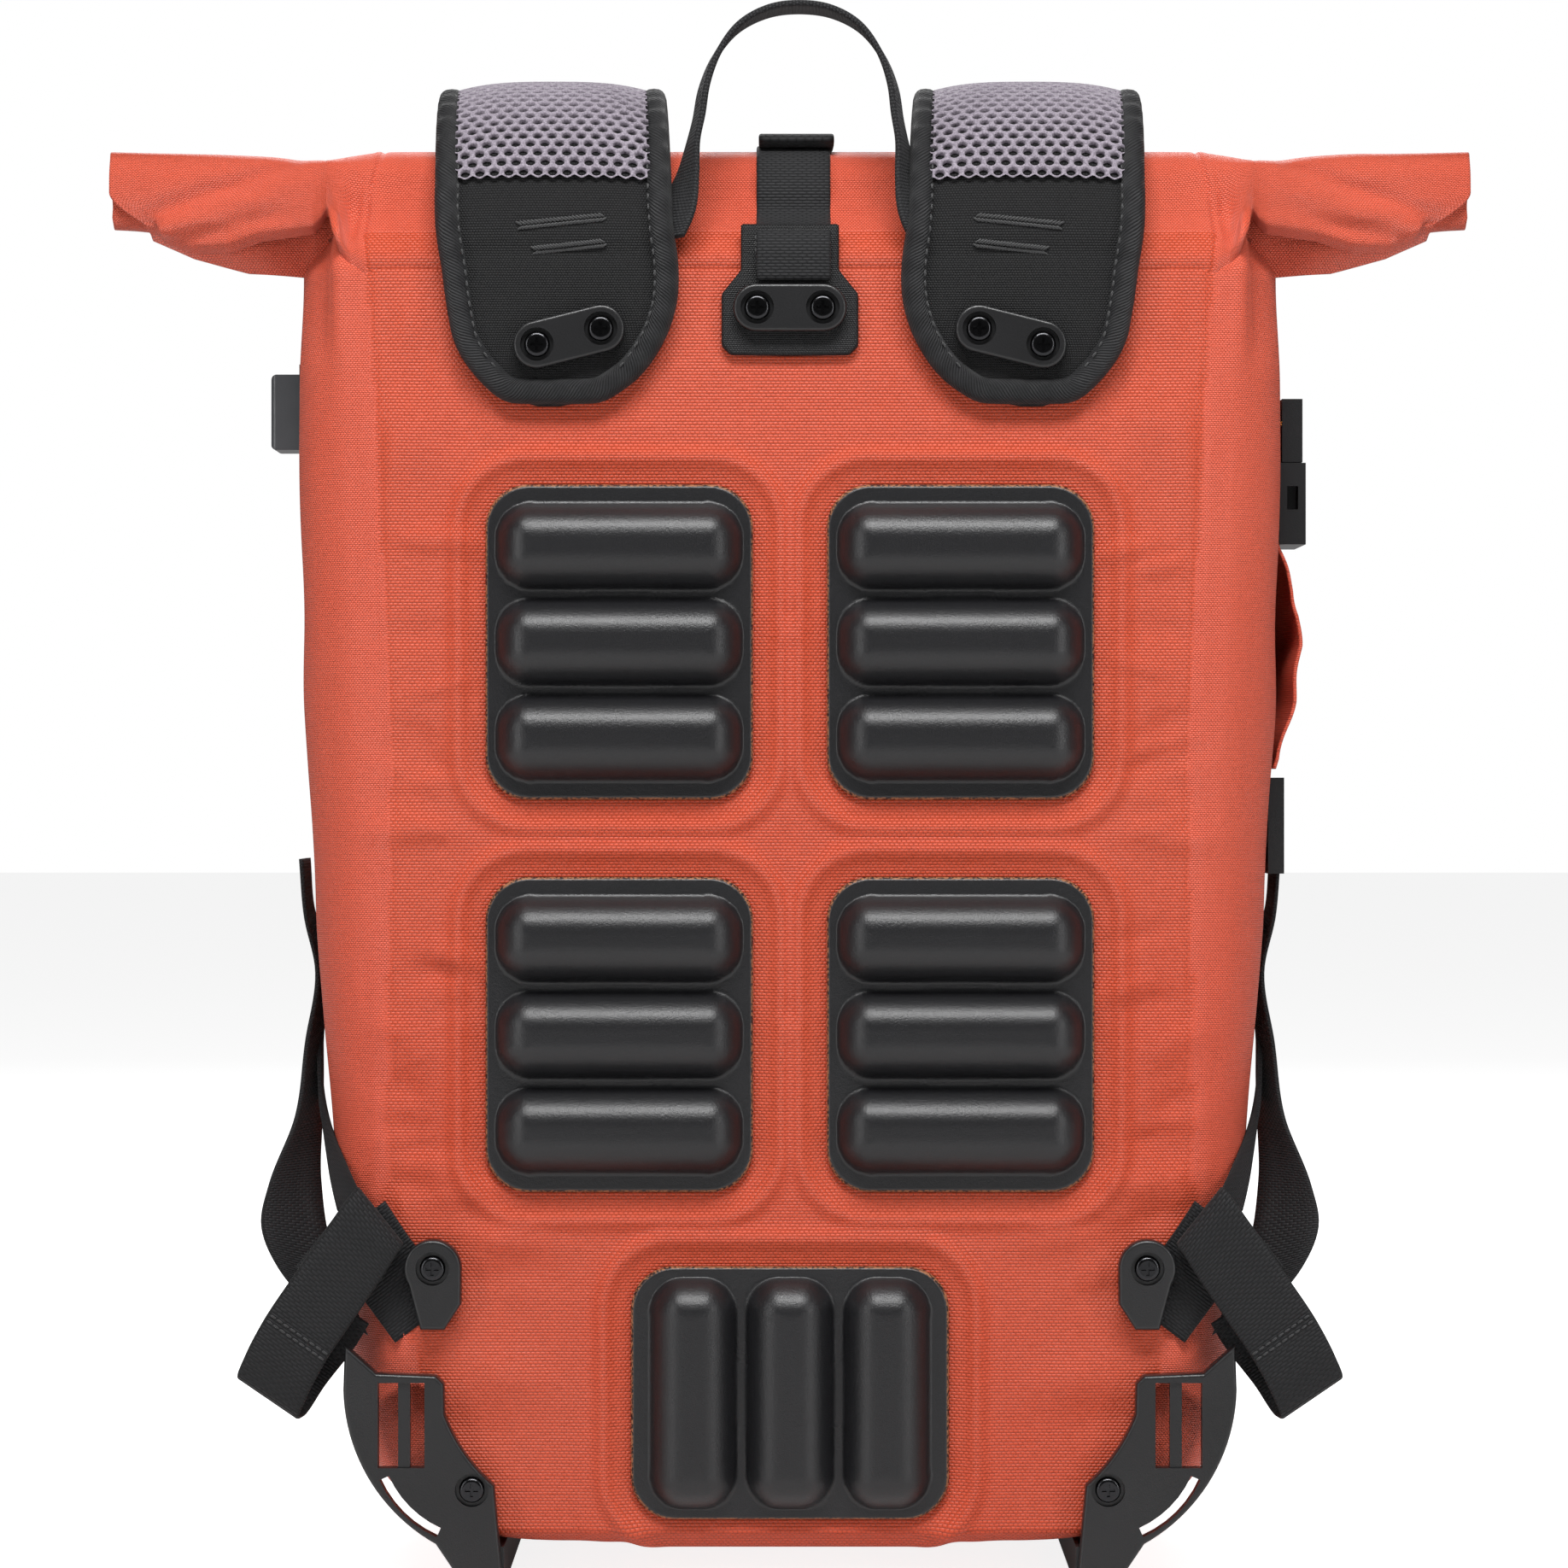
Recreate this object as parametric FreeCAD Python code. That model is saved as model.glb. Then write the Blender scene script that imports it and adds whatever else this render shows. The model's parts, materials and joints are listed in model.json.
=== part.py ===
import FreeCAD, Part
import math
import os

os.makedirs("parts", exist_ok=True)

V = FreeCAD.Vector
X = V(1, 0, 0)
Y = V(0, 1, 0)
Z = V(0, 0, 1)

# A roll-top bag that is a backpack and a bicycle pannier.
# -Y is the harness side with the back pads, +Y is the side that hangs on the rack,
# +Z is up and the origin lies on the ground under the middle of the bag.

# ---- driving dimensions (mm) ----
bag_width = 332.0            # widest, just under the rolled top
bag_depth = 170.0
panel_height = 442.0         # bottom of the bag to the rim that the roll sits on
ground_clearance = 14.0      # the corner brackets hold the bag off the ground
lower_width = 298.0          # width above the rounded lower corners
lower_corner_radius = 52.0
upright_radius = 24.0        # rounding from the back panel to the sides
bottom_edge_radius = 8.0
fabric = 1.6
gap = 0.3                    # clearance between pieces that lie on each other

roll_height = 30.0
roll_depth = 38.0
roll_setback = 11.5          # back panel to the face of the roll
roll_rounding = 14.5
roll_length = 464.0
wing_drop = 16.0             # how far the gusset fold hangs below the rim
wing_depth = 14.0
wing_end_height = 26.0
stiffener_height = 16.0
stiffener_thickness = 1.2

webbing_width = 25.0
webbing_thickness = 1.6
tail_spacing = 8.2           # back panel to the loose webbing at the corners
centre_tab_thickness = 2.4
tab_neck = 33.0              # centre tab above its shoulders
tab_shoulder = 46.0

pad_width = 90.0
pad_height = 106.0
lumbar_width = 107.0
lumbar_height = 85.0
pad_base = 3.0
pad_ridge = 10.0
pad_corner = 14.0
pad_spread = 57.4            # middle of the bag to the middle of a side pad
upper_pad_drop = 138.5       # rim to the middle of the upper pads
lower_pad_rise = 171.5       # bottom to the middle of the lower pads
lumbar_rise = 51.0

strap_width = 78.0
strap_thickness = 9.0
strap_tongue = 5.0           # thin stitched end under the anchor plate
strap_spread = 81.5          # middle of the bag to the middle of a strap at its anchor
strap_splay = 30.0           # how much further apart the straps are at their lower ends
strap_arc = 57.0
strap_end_drop = 171.0       # rim to the lower end of the strap

plate_length = 38.0
plate_width = 16.0
plate_thickness = 4.0
plate_screw_spacing = 22.0
plate_tilt = 14.0
strap_plate_drop = 36.4
tab_plate_drop = 26.4

screw_radius = 2.0
screw_head_radius = 4.3
screw_head = 2.2
screw_dome = 1.5
screw_clearance = 0.25
recess_arm = 2.2             # cross recess of a screw, middle to the end of an arm
recess_half = 0.5
well_radius = 5.6
well_depth = 1.6             # how deep a screw head sits in its plate, tab or bracket
plate_rounding = 1.2
nut_radius = 6.0
nut_thickness = 2.5
back_sheet = 2.0
back_sheet_corner = 40.0
sheet_margin = 5.0           # base sheet to the inside of the bag

buckle_wall = 4.5            # buckle beside the webbing
buckle_slack = 1.0           # webbing edge to the end of its slot
buckle_depth = 9.0
buckle_skin = 2.0
socket_length = 28.0
socket_rise = 4.0            # mouth of a socket above the buckle's own origin
plug_travel = 20.0
prong_reach = 10.0
prong_half = 2.0
ladder_height = 22.0
ladder_depth = 5.0
ladder_slot = 3.8
buckle_drop = 108.0          # rim to the closing buckle

handle_width = 18.0
handle_rise = 52.0
handle_half = 34.0
handle_shift = 2.0

bracket_thickness = 5.0
corner_tab_thickness = 5.0
corner_tab_radius = 9.6
corner_spacing = 2.6         # back panel to the underside of the corner pieces
bracket_rise = 67.8
arc_slot_radius = 36.0
arc_slot_width = 3.4

side_setback = 46.0          # back panel to the middle of the side pieces
patch_thickness = 1.4
patch_half = 17.0
patch_height = 51.0
holder_reach = 13.0
holder_half = 9.0
flap_reach = 9.5
flap_depth = 48.0

rail_depth = 14.0
rail_height = 26.0
rail_wall = 3.0
rail_slot = 8.6
top_rail_length = 250.0
low_rail_length = 120.0
top_rail_rise = 276.0
low_rail_rise = 96.0
slide_clearance = 0.5

tube_radius = 8.0            # rack tube that the hooks take
hook_width = 28.0
hook_wall = 4.5
hook_spread = 46.0
hook_plate = 4.0
hook_throat = 7.4            # plate to the near side of the tube
latch_pin_radius = 2.0
latch_width = 15.8
latch_hub = 3.6
latch_gap = 1.2              # nose to the rack tube
carriage_radius = 12.0
stud_radius = 5.0
swivel_plate = 4.0
swivel_radius = 11.0
swivel_reach = 38.0
swivel_half = 7.0
running = 0.05

# ---- places that follow from them ----
bottom_z = ground_clearance
rim_z = bottom_z + panel_height
front_proud = pad_base + pad_ridge
hook_face = gap + rail_depth + gap + hook_plate
tube_reach = hook_face + hook_throat + tube_radius
rear_proud = tube_reach + tube_radius + hook_wall
back_y = -(bag_depth + rear_proud - front_proud) / 2
rear_y = back_y + bag_depth
roll_face_y = back_y + roll_setback
roll_rear_y = roll_face_y + roll_depth
roll_top_z = rim_z + roll_height
roll_middle_y = (roll_face_y + roll_rear_y) / 2
handle_z = roll_top_z - 4
handle_y = roll_face_y - 1 - handle_width / 2
corner_back_y = back_y - corner_spacing
slope_angle = math.degrees(math.atan2(18, 55))
buckle_z = rim_z - buckle_drop
buckle_y = rear_y - 9 + 1.2
slot_half_x = webbing_width / 2 + buckle_slack
side_x = bag_width / 2
side_y = back_y + side_setback


# ---- helpers ----
def box(low, high):
    """A block between two opposite corners."""
    size = [b - a for a, b in zip(low, high)]
    return Part.makeBox(size[0], size[1], size[2], V(*low))


def rod(point, axis, radius, length):
    return Part.makeCylinder(radius, length, V(*point), axis)


def face_prism(outline, y, thickness):
    """Extrude an outline of (x, z) corners towards +Y from the plane y."""
    points = [V(x, y, z) for x, z in outline]
    wire = Part.makePolygon(points + [points[0]])
    return Part.Face(wire).extrude(Y * thickness)


def rounded_plate(centre, width, height, corner, y, thickness):
    """A plate in the XZ plane with rounded corners."""
    x, z = centre
    low = (x - width / 2, y, z - height / 2)
    high = (x + width / 2, y + thickness, z + height / 2)
    plate = box(low, high)
    uprights = [e for e in plate.Edges if abs(e.tangentAt(e.FirstParameter).y) > 0.9]
    return plate.makeFillet(corner, uprights)


def join(first, *others):
    """Fuse pieces of one solid and clean the seams between them."""
    return first.fuse(list(others)).removeSplitter()


def mirrored(shape):
    return shape.mirror(V(0, 0, 0), X)


def front_rounded(shape, y, radius):
    """Round every edge that lies in the plane y, the face of a plate towards the rider."""
    rim = [e for e in shape.Edges if e.BoundBox.YMax < y + 0.01]
    return shape.makeFillet(radius, rim)


def drilled(shape, places, y_from, y_to, radius):
    """Cut round holes along Y at the given (x, z) places."""
    for x, z in places:
        shape = shape.cut(rod((x, y_from, z), Y, radius, y_to - y_from))
    return shape


def band(stations):
    """A flat strap through stations of (point, across, width, thickness).

    The strap lies on the path and grows away from it, along across x travel.
    """
    points = [V(*s[0]) for s in stations]
    wires = []
    for i, (_, across, width, thickness) in enumerate(stations):
        travel = points[min(i + 1, len(points) - 1)] - points[max(i - 1, 0)]
        across = V(*across).normalize()
        outward = across.cross(travel).normalize()
        left = points[i] - across * (width / 2)
        right = points[i] + across * (width / 2)
        lift = outward * thickness
        wires.append(Part.makePolygon([left, right, right + lift, left + lift, left]))
    return Part.makeLoft(wires, True, True)


def arc_points(centre, radius, start, end, count):
    """Points (y, z) on an arc; 0 degrees is +Y and 90 is +Z."""
    points = []
    for i in range(count):
        angle = math.radians(start + (end - start) * i / (count - 1))
        points.append((centre[0] + radius * math.cos(angle), centre[1] + radius * math.sin(angle)))
    return points


def save(name, *solids):
    """Write one node; several separate solids are written as a group."""
    shape = solids[0] if len(solids) == 1 else Part.makeCompound(list(solids))
    assert all(s.isValid() for s in shape.Solids), name
    shape.exportStep("parts/" + name + ".step")
    print(name, len(shape.Solids), round(shape.Volume / 1000, 2), "cm3")


# ---- screw places on the back panel ----
def plate_places(x, z, tilt):
    """The two screw places of an anchor plate."""
    dx = plate_screw_spacing / 2 * math.cos(math.radians(tilt))
    dz = plate_screw_spacing / 2 * math.sin(math.radians(tilt))
    return [(x - dx, z - dz), (x + dx, z + dz)]


strap_plate_x = 74.0
strap_plate_z = rim_z - strap_plate_drop
tab_plate_z = rim_z - tab_plate_drop
left_plate_places = plate_places(-strap_plate_x, strap_plate_z, plate_tilt)
right_plate_places = plate_places(strap_plate_x, strap_plate_z, -plate_tilt)
strap_places = left_plate_places + right_plate_places
tab_places = plate_places(0, tab_plate_z, 0)
corner_tab_x = lower_width / 2 - 29.2
corner_tab_z = bottom_z + 93.4
bracket_screw_x = lower_width / 2 - 42.4
bracket_screw_z = bottom_z + 19.3
corner_places = [(-corner_tab_x, corner_tab_z), (corner_tab_x, corner_tab_z)]
bracket_places = [(-bracket_screw_x, bracket_screw_z), (bracket_screw_x, bracket_screw_z)]
panel_places = strap_places + tab_places + corner_places + bracket_places
top_rail_z = bottom_z + top_rail_rise
low_rail_z = bottom_z + low_rail_rise
rail_screw_x = 28.0
rail_outer_screw_x = 105.0
top_rail_places = [(x, top_rail_z) for x in (-rail_outer_screw_x, 0, rail_outer_screw_x)]
low_rail_places = [(x, low_rail_z) for x in (-rail_screw_x, rail_screw_x)]
rail_places = top_rail_places + low_rail_places


# ---- the bag ----
def plan_wire(z, half_width, front, rear, radius):
    """A rounded rectangle in the plane z, from four lines and four quarter arcs."""
    reach = radius * (1 - math.sqrt(0.5))
    corners = [(-half_width, front, 1, 1), (half_width, front, -1, 1),
               (half_width, rear, -1, -1), (-half_width, rear, 1, -1)]
    edges = []
    ends = []
    for i, (x, y, sx, sy) in enumerate(corners):
        on_x = V(x + sx * radius, y, z)
        on_y = V(x, y + sy * radius, z)
        middle = V(x + sx * reach, y + sy * reach, z)
        start, end = (on_y, on_x) if i % 2 == 0 else (on_x, on_y)
        edges.append(Part.Arc(start, middle, end).toShape())
        ends.append((start, end))
    lines = [Part.makeLine(ends[i][1], ends[(i + 1) % 4][0]) for i in range(4)]
    ordered = []
    for arc, line in zip(edges, lines):
        ordered += [arc, line]
    return Part.Wire(ordered)


def bag_sections():
    """(z, half width, front y, rear y) from the bottom to the rim."""
    sections = []
    half = lower_width / 2
    for rise in (0, 3, 8, 18, 32, lower_corner_radius):
        side = math.sqrt(lower_corner_radius ** 2 - (lower_corner_radius - rise) ** 2)
        edge = max(bottom_edge_radius - rise, 0)
        inset = bottom_edge_radius - math.sqrt(bottom_edge_radius ** 2 - edge ** 2)
        sections.append((bottom_z + rise, half - lower_corner_radius + side,
                         back_y + inset, rear_y - inset))
    widest = bag_width / 2
    sections.append((bottom_z + 186, widest - 7, back_y, rear_y))
    sections.append((rim_z - 136, widest - 2, back_y, rear_y))
    sections.append((rim_z - 81, widest, back_y, rear_y - 18))
    sections.append((rim_z - 36, widest, back_y, rear_y - 48))
    sections.append((rim_z - 10, widest, back_y, rear_y - 82))
    sections.append((rim_z, widest, roll_face_y - 2, roll_rear_y + 2))
    return sections


def bag_solid(inset):
    """The bag's outer form, or its inside when it is drawn in by inset."""
    wires = []
    for i, (z, half, front, rear) in enumerate(bag_sections()):
        depth = rear - front
        radius = min(upright_radius, depth / 2 - 2) - inset
        height = z + inset if i == 0 else z
        wires.append(plan_wire(height, half - inset, front + inset, rear - inset, radius))
    if inset:
        z, half, front, rear = bag_sections()[-1]
        radius = min(upright_radius, (rear - front) / 2 - 2) - inset
        wires.append(plan_wire(z + 1, half - inset, front + inset, rear - inset, radius))
    return Part.makeLoft(wires, True, True)


def bag_shell():
    shell = bag_solid(0).cut(bag_solid(fabric))
    hole = screw_radius + screw_clearance
    shell = drilled(shell, panel_places, back_y - 1, back_y + fabric + 1, hole)
    return drilled(shell, rail_places, rear_y - fabric - 1, rear_y + 1, hole)


def roll_top():
    """The rolled mouth: a rounded bar on the rim with two flat wings."""
    half = bag_width / 2 + 4
    low_z = rim_z + gap
    bar = box((-half, roll_face_y, low_z), (half, roll_rear_y, roll_top_z))
    lengthwise = [e for e in bar.Edges if abs(e.tangentAt(e.FirstParameter).x) > 0.9]
    bar = bar.makeFillet(roll_rounding, lengthwise)
    root = half - 3
    tip = roll_length / 2

    def upright(x, depth, low, high):
        corners = [(-depth, low), (depth, low), (depth, high), (-depth, high), (-depth, low)]
        return Part.makePolygon([V(x, roll_middle_y + y, z) for y, z in corners])

    root_wire = upright(root, roll_depth / 2, rim_z - wing_drop, roll_top_z - 1)
    tip_wire = upright(tip, wing_depth / 2, roll_top_z - wing_end_height, roll_top_z)
    wing = Part.makeLoft([root_wire, tip_wire], True, True)
    roll = join(bar, wing, mirrored(wing))
    slot_half = stiffener_height / 2 + slide_clearance
    slot_z = roll_top_z - roll_height / 2
    slot_y = stiffener_thickness / 2 + slide_clearance
    slot = box((-tip - 1, roll_middle_y - slot_y, slot_z - slot_half),
               (tip + 1, roll_middle_y + slot_y, slot_z + slot_half))
    return roll.cut(slot)


def roll_stiffener():
    slot_z = roll_top_z - roll_height / 2
    half_z = stiffener_height / 2
    half_y = stiffener_thickness / 2
    reach = roll_length / 2 - 0.5
    return box((-reach, roll_middle_y - half_y, slot_z - half_z), (reach, roll_middle_y + half_y, slot_z + half_z))


def back_sheet_panel():
    """The stiff sheet inside the bag that the harness screws clamp."""
    y = back_y + fabric + gap
    low_z = bottom_z + 12
    high_z = rim_z - 10
    centre = (0, (low_z + high_z) / 2)
    width = lower_width - 2 * upright_radius
    panel = rounded_plate(centre, width, high_z - low_z, back_sheet_corner, y, back_sheet)
    return drilled(panel, panel_places, y - 1, y + back_sheet + 1, screw_radius + screw_clearance)


def base_sheet():
    """The loose sheet that stiffens the floor of the bag."""
    margin = fabric + sheet_margin
    half = lower_width / 2 - lower_corner_radius - margin
    z = bottom_z + fabric + gap
    y_low = back_y + bottom_edge_radius + margin
    y_high = rear_y - bottom_edge_radius - margin
    return box((-half, y_low, z), (half, y_high, z + back_sheet))


# ---- back pads ----
def back_pad(centre, width, height, upright_ridges):
    """A moulded foam pad: a thin base with three rounded ridges."""
    y = back_y - gap - pad_base
    pad = rounded_plate(centre, width, height, pad_corner, y, pad_base)
    run = width if upright_ridges else height
    pitch = (run - 12) / 3
    ridges = []
    for i in (-1, 0, 1):
        if upright_ridges:
            place = (centre[0] + i * pitch, centre[1])
            size = (pitch - 5, height - 12)
        else:
            place = (centre[0], centre[1] + i * pitch)
            size = (width - 8, pitch - 5)
        ridge = rounded_plate(place, size[0], size[1], 8, y - pad_ridge + gap, pad_ridge + 1)
        rim = [e for e in ridge.Edges if e.CenterOfMass.y < y - pad_ridge + gap + 0.01]
        ridges.append(ridge.makeFillet(7, rim))
    return join(pad, *ridges)


# ---- shoulder straps ----
def strap_path():
    """Stations of the left strap as (x, y, z, width, thickness), anchor end first."""
    x = -strap_spread
    face = back_y - gap
    anchor = strap_plate_z - 10
    tongue = [(0, 24), (2.4, 46), (7, 62), (14, 75), (22, strap_width)]
    stations = [(x, face, anchor + rise, width, strap_tongue) for rise, width in tongue]
    arc_y = face + strap_arc
    arc_z = rim_z - 11
    turn = 60.0
    for i, (y, z) in enumerate(arc_points((arc_y, arc_z), strap_arc, 180, 90 - turn, 11)):
        thickness = strap_tongue + (strap_thickness - strap_tongue) * min(i / 2, 1)
        stations.append((x - 6 * i / 10, y, z, strap_width, thickness))
    slope = math.radians(turn)
    last = stations[-1]
    rear_face = rear_y + rail_depth + 2 * gap + 1
    run = (rear_face - 5.4 - last[1]) / math.cos(slope)
    end_z = last[2] - run * math.sin(slope)
    stations.append((x - 16, last[1] + run * math.cos(slope), end_z, strap_width - 4, strap_thickness))
    stations.append((x - 19, rear_face, end_z - 20, strap_width - 8, strap_thickness))
    lower = rim_z - strap_end_drop
    stations.append((x - 24, rear_face, (end_z - 20 + lower + 34) / 2, strap_width - 16, strap_thickness))
    stations.append((x - strap_splay + 2, rear_face, lower + 22, 46, strap_thickness))
    stations.append((x - strap_splay, rear_face, lower, 34, strap_tongue))
    return stations


def shoulder_strap():
    """The left strap, from its anchor on the back panel over the roll to the rack side."""
    stations = [((x, y, z), (1, 0, 0), width, thick) for x, y, z, width, thick in strap_path()]
    strap = band(stations)
    return drilled(strap, left_plate_places, back_y - 20, back_y, screw_radius + screw_clearance)


def anchor_plate(x, z, tilt, y, places):
    """A pill-shaped plate that two screws pull onto the fabric."""
    plate = rounded_plate((x, z), plate_length, plate_width, plate_width / 2 - 0.1, y, plate_thickness)
    plate = front_rounded(plate, y, plate_rounding)
    plate.rotate(V(x, y, z), V(0, -1, 0), tilt)
    plate = drilled(plate, places, y - 1, y + well_depth, well_radius)
    return drilled(plate, places, y - 1, y + plate_thickness + 1, screw_radius + screw_clearance)


def screw(x, z, head_y, tip_y):
    """A pan-head screw along Y with a cross recess."""
    face_y = head_y - screw_head
    head = rod((x, face_y, z), Y, screw_head_radius, screw_head)
    head = front_rounded(head, face_y, screw_dome)
    shank = rod((x, head_y, z), Y, screw_radius, tip_y - head_y)
    arm = recess_arm
    slot = recess_half
    cross = box((x - arm, face_y - 1, z - slot), (x + arm, head_y - 1, z + slot))
    other = box((x - slot, face_y - 1, z - arm), (x + slot, head_y - 1, z + arm))
    return join(head, shank).cut(cross).cut(other)


def nut(x, z, y):
    ring = rod((x, y, z), Y, nut_radius, nut_thickness)
    return ring.cut(rod((x, y - 1, z), Y, screw_radius + running, nut_thickness + 2))


def centre_tab():
    """The coated tab that the closing strap is sewn to, wider at its anchor plate."""
    neck = tab_neck / 2
    wide = tab_shoulder / 2
    half = [(neck, rim_z - 1), (neck, rim_z - 15), (wide, rim_z - 22), (wide, rim_z - 38), (wide - 3, rim_z - 42)]
    outline = half + [(-x, z) for x, z in reversed(half)]
    tab_y = back_y - gap - centre_tab_thickness
    tab = face_prism(outline, tab_y, centre_tab_thickness)
    return drilled(tab, tab_places, tab_y - 1, back_y, screw_radius + screw_clearance)


# ---- closing strap and its buckle ----
def on_slope(shape):
    """Turn a piece built upright at the origin and set it on the upper rear panel."""
    shape.rotate(V(0, 0, 0), X, slope_angle)
    shape.translate(V(0, buckle_y, buckle_z))
    return shape


def slope_point(along, lift):
    """A point (y, z) on the upper rear panel, along it from the buckle and lift off it."""
    a = math.radians(slope_angle)
    y = buckle_y - along * math.sin(a) + lift * math.cos(a)
    z = buckle_z + along * math.cos(a) + lift * math.sin(a)
    return y, z


def closure_strap():
    """Webbing from the centre tab over the roll and down to the buckle plug."""
    clear = 0.6
    face = roll_face_y - clear
    radius = roll_rounding + clear
    top_y = roll_face_y + roll_rounding
    rear_top_y = roll_rear_y - roll_rounding
    top_z = roll_top_z - roll_rounding
    points = [(back_y - gap - centre_tab_thickness - gap, rim_z - 12)]
    points.append((back_y - gap - centre_tab_thickness - gap, rim_z))
    points.append((face, rim_z + 10))
    points += arc_points((top_y, top_z), radius, 180, 90, 5)
    points += arc_points((rear_top_y, top_z), radius, 90, 35, 4)
    points.append((rear_y - 44, rim_z - 26))
    points.append(slope_point(56, 2.2))
    points.append(slope_point(26 + plug_travel, 2.2))
    stations = [((0, y, z), (1, 0, 0), webbing_width, webbing_thickness) for y, z in points]
    return band(stations)


def strap_end():
    """The folded end of the closing strap, lying across the top of the roll."""
    low = roll_top_z + 0.6 + webbing_thickness + gap
    y_low = roll_face_y + roll_rounding - 2
    return box((-webbing_width / 2, y_low, low), (webbing_width / 2 + 2, y_low + 14, low + 3.2))


def buckle_socket(turn):
    """A side-release socket with an open mouth at its top, built upright at the origin."""
    half = webbing_width / 2 + buckle_wall
    low = socket_rise - socket_length
    inner = half - 4
    body = box((-half, 0, low), (half, buckle_depth, socket_rise))
    body = body.cut(box((-inner, buckle_skin, low + 10), (inner, buckle_depth - buckle_skin, socket_rise + 1)))
    window_low = buckle_skin + 0.6
    window_high = buckle_depth - window_low
    body = body.cut(box((-half - 1, window_low, low + 12), (half + 1, window_high, low + 20)))
    lower_slot = box((-slot_half_x, -1, low + 2.5), (slot_half_x, buckle_depth + 1, low + 7))
    return turn(body.cut(lower_slot))


def buckle_plug(turn):
    """The plug with its two prongs and centre tongue, seated in the socket."""
    half = webbing_width / 2 + buckle_wall - 1
    head = box((-half, 1, socket_rise + gap), (half, buckle_depth - 1, socket_rise + 22))
    slot_low = socket_rise + 14.5
    head = head.cut(box((-slot_half_x, 0, slot_low), (slot_half_x, buckle_depth, slot_low + ladder_slot)))
    blade_low = buckle_skin + 0.8
    blade_high = buckle_depth - buckle_skin - 0.8
    tongue = box((-2.5, blade_low, -11), (2.5, blade_high, socket_rise + 1))
    prongs = []
    for side in (-1, 1):
        x = side * prong_reach
        prongs.append(box((x - prong_half, blade_low, -11.5), (x + prong_half, blade_high, socket_rise + 1)))
    return turn(join(head, tongue, *prongs))


def buckle_strap():
    """Webbing sewn to the rear panel that holds the buckle socket."""
    points = [slope_point(along, 0.2) for along in (socket_rise - socket_length - gap, -36, -46)]
    stations = [((0, y, z), (1, 0, 0), webbing_width, webbing_thickness) for y, z in points]
    return band(stations)


# ---- carry handle ----
def carry_handle():
    """The upright webbing loop, edge-on from the front."""
    stations = []
    for i in range(15):
        angle = math.radians(180 - 180 * i / 14)
        x = handle_half * math.cos(angle) + handle_shift
        z = handle_z + handle_rise * math.sin(angle) ** 0.8 + gap
        stations.append(((x, handle_y, z), (0, -1, 0), handle_width, webbing_thickness))
    return band(stations)


def carry_handle_end():
    """The left leg below the loop, twisting flat to run behind the shoulder strap."""
    y = roll_face_y - 3.2
    x = handle_shift - handle_half - 2 * (webbing_thickness + gap)
    stations = [((x, handle_y, handle_z), (0, -1, 0), handle_width, webbing_thickness),
                ((x - 0.5, handle_y, handle_z - 11), (0, -1, 0), handle_width, webbing_thickness),
                ((x - 1, y - 3, handle_z - 17), (0.6, -0.8, 0), handle_width - 6, webbing_thickness),
                ((x - 3, y, handle_z - 23), (1, -0.15, 0), handle_width - 6, webbing_thickness),
                ((x - 8, y + 0.6, rim_z + 1), (1, 0, 0), handle_width - 4, webbing_thickness)]
    return band(stations)


# ---- lower corners ----
def corner_bracket():
    """The left moulded corner guard: a ladder window, an arc slot and a runner under the bag."""
    side = -lower_width / 2
    bracket_top_z = bottom_z + bracket_rise
    face_y = corner_back_y - bracket_thickness
    outline = [V(side - 0.2, 0, bracket_top_z), V(side - 0.7, 0, bottom_z + 52.6),
               V(side + 10.5, 0, bracket_top_z - 9.5), V(side + 30.3, 0, bracket_top_z - 10.3)]
    foot_in = side + 53.0
    foot_out = side + 40.5
    edges = [Part.makeLine(V(side - 0.7, 0, bottom_z + 52.6), outline[0]),
             Part.makeLine(outline[0], outline[2]),
             Part.makeLine(outline[2], outline[3])]
    waist_top = V(side + 33.2, 0, bottom_z + 44.5)
    edges.append(Part.makeLine(outline[3], V(side + 33.0, 0, bracket_top_z - 13)))
    edges.append(Part.makeLine(V(side + 33.0, 0, bracket_top_z - 13), waist_top))
    hip = V(side + 49.8, 0, bottom_z + 20.7)
    edges.append(Part.Arc(waist_top, V(side + 41.2, 0, bottom_z + 29.9), hip).toShape())
    edges.append(Part.makeLine(hip, V(foot_in, 0, 0)))
    edges.append(Part.makeLine(V(foot_in, 0, 0), V(foot_out, 0, 0)))
    edges.append(Part.makeLine(V(foot_out, 0, 0), V(side + 30.3, 0, bottom_z + 1.1)))
    edges.append(Part.Arc(V(side + 30.3, 0, bottom_z + 1.1), V(side + 7.6, 0, bottom_z + 23.3),
                          V(side - 0.7, 0, bottom_z + 52.6)).toShape())
    face = Part.Face(Part.Wire(edges))
    face.translate(V(0, face_y, 0))
    plate = front_rounded(face.extrude(Y * bracket_thickness), face_y, plate_rounding)
    runner = box((foot_out, corner_back_y - 1, 0), (foot_in, rear_y - 18, bottom_z - gap))
    return cut_bracket(join(plate, runner), side)


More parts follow.
